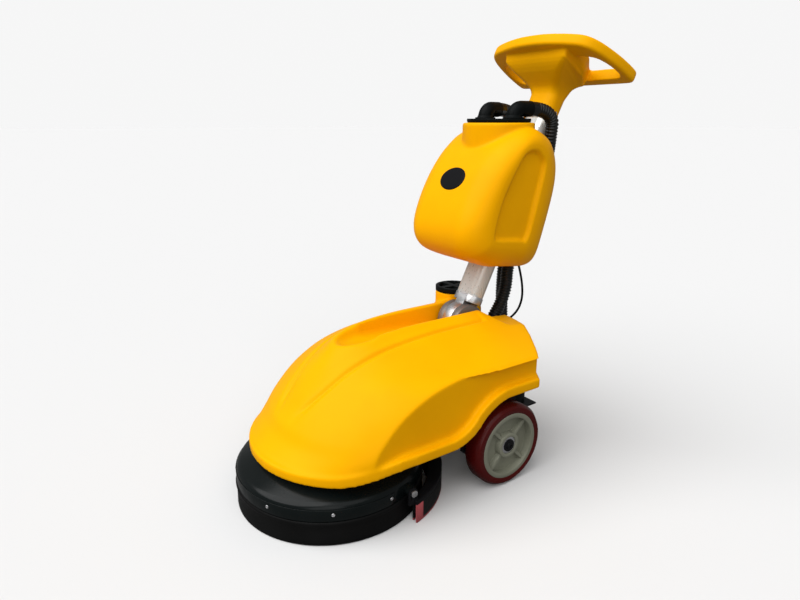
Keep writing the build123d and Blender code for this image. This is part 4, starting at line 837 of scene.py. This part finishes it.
ELBOW_X, ELBOW_Y, ELBOW_Z = AXLE_X - 0.14, 0.048, 0.824
ELBOW_R, ELBOW_RISE, ELBOW_BEND, ELBOW_RUN = 0.018, 0.002, 0.02, 0.028
ELBOW_TOE = radians(8)  # the elbows spread towards the hoses
ELBOW_FOOT = (  # radius and height
    (0.025, 0.0), (0.025, 0.0022), (0.0242, 0.003), (0.021, 0.0036), (0.019, 0.0052), (0.0182, 0.008),
)
elbows = []
for side, word in ((1, "left"), (-1, "right")):
    toe = Vector((-cos(ELBOW_TOE), side * sin(ELBOW_TOE), 0))
    foot = Vector((ELBOW_X, side * ELBOW_Y, ELBOW_Z))
    line = [foot, foot + Vector((0, 0, ELBOW_RISE))]
    for a in (radians(6 * i) for i in range(1, 16)):
        line.append(line[1] + toe * (ELBOW_BEND * (1 - cos(a))) + Vector((0, 0, ELBOW_BEND * sin(a))))
    line.append(line[-1] + toe * ELBOW_RUN)
    bend, _ = tube(f"lid_elbow_{word}", line, [ELBOW_R] * 60, 40, BLACK)
    base = lathe(f"elbow_foot_{word}", ELBOW_FOOT, foot, (0, 0, 1), BLACK, 56)
    elbows += [bend, base]
for piece in elbows:
    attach(piece, "lid")
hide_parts("lid_elbows")
MOTOR_CAN = (  # radius and height
    (0.05, 0.196), (0.056, 0.198), (0.056, 0.222), (0.055, 0.225), (0.052, 0.2265), (0.052, 0.229),
    (0.03, 0.231),
)
motor = lathe("brush_motor_can", MOTOR_CAN, DECK, (0, 0, 1), GREY, 64)
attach(motor, "base")
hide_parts("brush_motor")

# Plain oval badge on the recovery tank


def on_surface(piece, start, way):
    """Where a ray meets a piece, and the way that its surface faces there."""
    hit, place, normal, _ = piece.ray_cast(Vector(start), Vector(way).normalized())
    if not hit:
        raise ValueError(f"nothing of {piece.name} lies that way")
    return place, normal if normal.dot(Vector(way)) < 0 else -normal


BADGE = (0.041, 0.029)  # half width and half height
BADGE_FROM, BADGE_WAY = (0.298, 0.0, 0.8645), (-0.905, 0, -0.425)
badge_at, badge_out = on_surface(tank, BADGE_FROM, BADGE_WAY)
across = Vector((0, 1, 0))
across = (across - badge_out * across.dot(badge_out)).normalized()
upward = badge_out.cross(across)
if upward.z < 0:
    upward = -upward
verts, faces = [], []
RINGS, SIDES = 12, 56
for layer in range(2):
    for i in range(RINGS + 1):
        share = i / RINGS
        for k in range(SIDES):
            a = 2 * pi * k / SIDES
            flat = badge_at + across * (BADGE[0] * share * cos(a)) + upward * (BADGE[1] * share * sin(a))
            spot, _ = on_surface(tank, flat + badge_out * 0.05, -badge_out)
            lift = 0.0016 * (1 - 0.5 * share**6) if layer == 0 else -0.0008
            verts.append(spot + badge_out * lift)
for layer in range(2):
    base = layer * (RINGS + 1) * SIDES
    for i in range(RINGS):
        for k in range(SIDES):
            quad = (
                base + i * SIDES + k,
                base + (i + 1) * SIDES + k,
                base + (i + 1) * SIDES + (k + 1) % SIDES,
                base + i * SIDES + (k + 1) % SIDES,
            )
            faces.append(quad if layer == 0 else quad[::-1])
outer = RINGS * SIDES
below = (RINGS + 1) * SIDES + outer
for k in range(SIDES):
    after = (k + 1) % SIDES
    faces.append((outer + k, below + k, below + after, outer + after))
badge = add_mesh("tank_badge", verts, faces, KEY)
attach(badge, "column")

# Small fasteners

BAND_ANGLES = (24.5, 63, 98, -24.5, -63, -98)
BAND_R, BAND_SCREW_Z = 0.2116, 0.072
BAND_SCREW_R, SCREW_R = 0.0042, 0.0045
LIP_SCREW_X, LIP_SCREW_Z, LIP_SCREW_SUNK = 0.108, 0.1625, 0.0024
for index, angle in enumerate(radians(a) for a in BAND_ANGLES):
    out = Vector((cos(angle), sin(angle), 0))
    spot = DECK + out * BAND_R + Vector((0, 0, BAND_SCREW_Z))
    screw_head(f"band_screw_{index}", spot, out, BAND_SCREW_R, "base")
for side, word in ((1, "left"), (-1, "right")):
    place, normal = on_surface(body, (LIP_SCREW_X, side * 0.4, LIP_SCREW_Z), (0, -side, 0))
    screw_head(f"lip_screw_{word}", place - normal * LIP_SCREW_SUNK, normal, SCREW_R, "base", DARK_STEEL)
    place, normal = on_surface(handle, (-0.33, side * 0.3, 0.86), (-0.12, -side, -0.09))
    screw_head(f"neck_screw_{word}", place, normal, SCREW_R, "column")

# Floor, backdrop and light

WHITE = 0.925
floor_paint = bpy.data.materials.new("studio_paper")
floor_paint.use_nodes = True
tree = floor_paint.node_tree
paper = tree.nodes["Principled BSDF"]
paper.inputs["Roughness"].default_value = 1.0
paper.inputs["Specular IOR Level"].default_value = 0.0
seen = tree.nodes.new("ShaderNodeLightPath")
shade = tree.nodes.new("ShaderNodeMapRange")
shade.inputs["To Min"].default_value = 0.2
shade.inputs["To Max"].default_value = 0.765
tree.links.new(seen.outputs["Is Camera Ray"], shade.inputs["Value"])
tree.links.new(shade.outputs["Result"], paper.inputs["Base Color"])
corners = [(-90, -90, 0), (90, -90, 0), (90, 90, 0), (-90, 90, 0)]
floor = add_mesh("floor", corners, [(0, 1, 2, 3)], floor_paint, smooth=False)

world = bpy.data.worlds.new("studio")
scene.world = world
world.use_nodes = True
tree = world.node_tree
sky = tree.nodes["Background"]
sky.inputs["Color"].default_value = (1, 1, 1, 1)
seen = tree.nodes.new("ShaderNodeLightPath")
level = tree.nodes.new("ShaderNodeMapRange")
level.inputs["To Min"].default_value = 0.28
level.inputs["To Max"].default_value = WHITE
tree.links.new(seen.outputs["Is Camera Ray"], level.inputs["Value"])
tree.links.new(level.outputs["Result"], sky.inputs["Strength"])


def sun(name, way, strength, spread):
    """Distant lamp that shines along a direction."""
    light = bpy.data.lights.new(name, "SUN")
    light.energy = strength
    light.angle = radians(spread)
    obj = bpy.data.objects.new(name, light)
    obj.rotation_euler = Vector(way).to_track_quat("-Z", "Y").to_euler()
    scene.collection.objects.link(obj)


sun("key", (-0.72, 0.1, -1.0), 3.0, 65)
sun("fill", (-0.2, -0.8, -0.9), 0.55, 50)
sun("front", (-0.57, -0.82, -0.2), 0.5, 40)
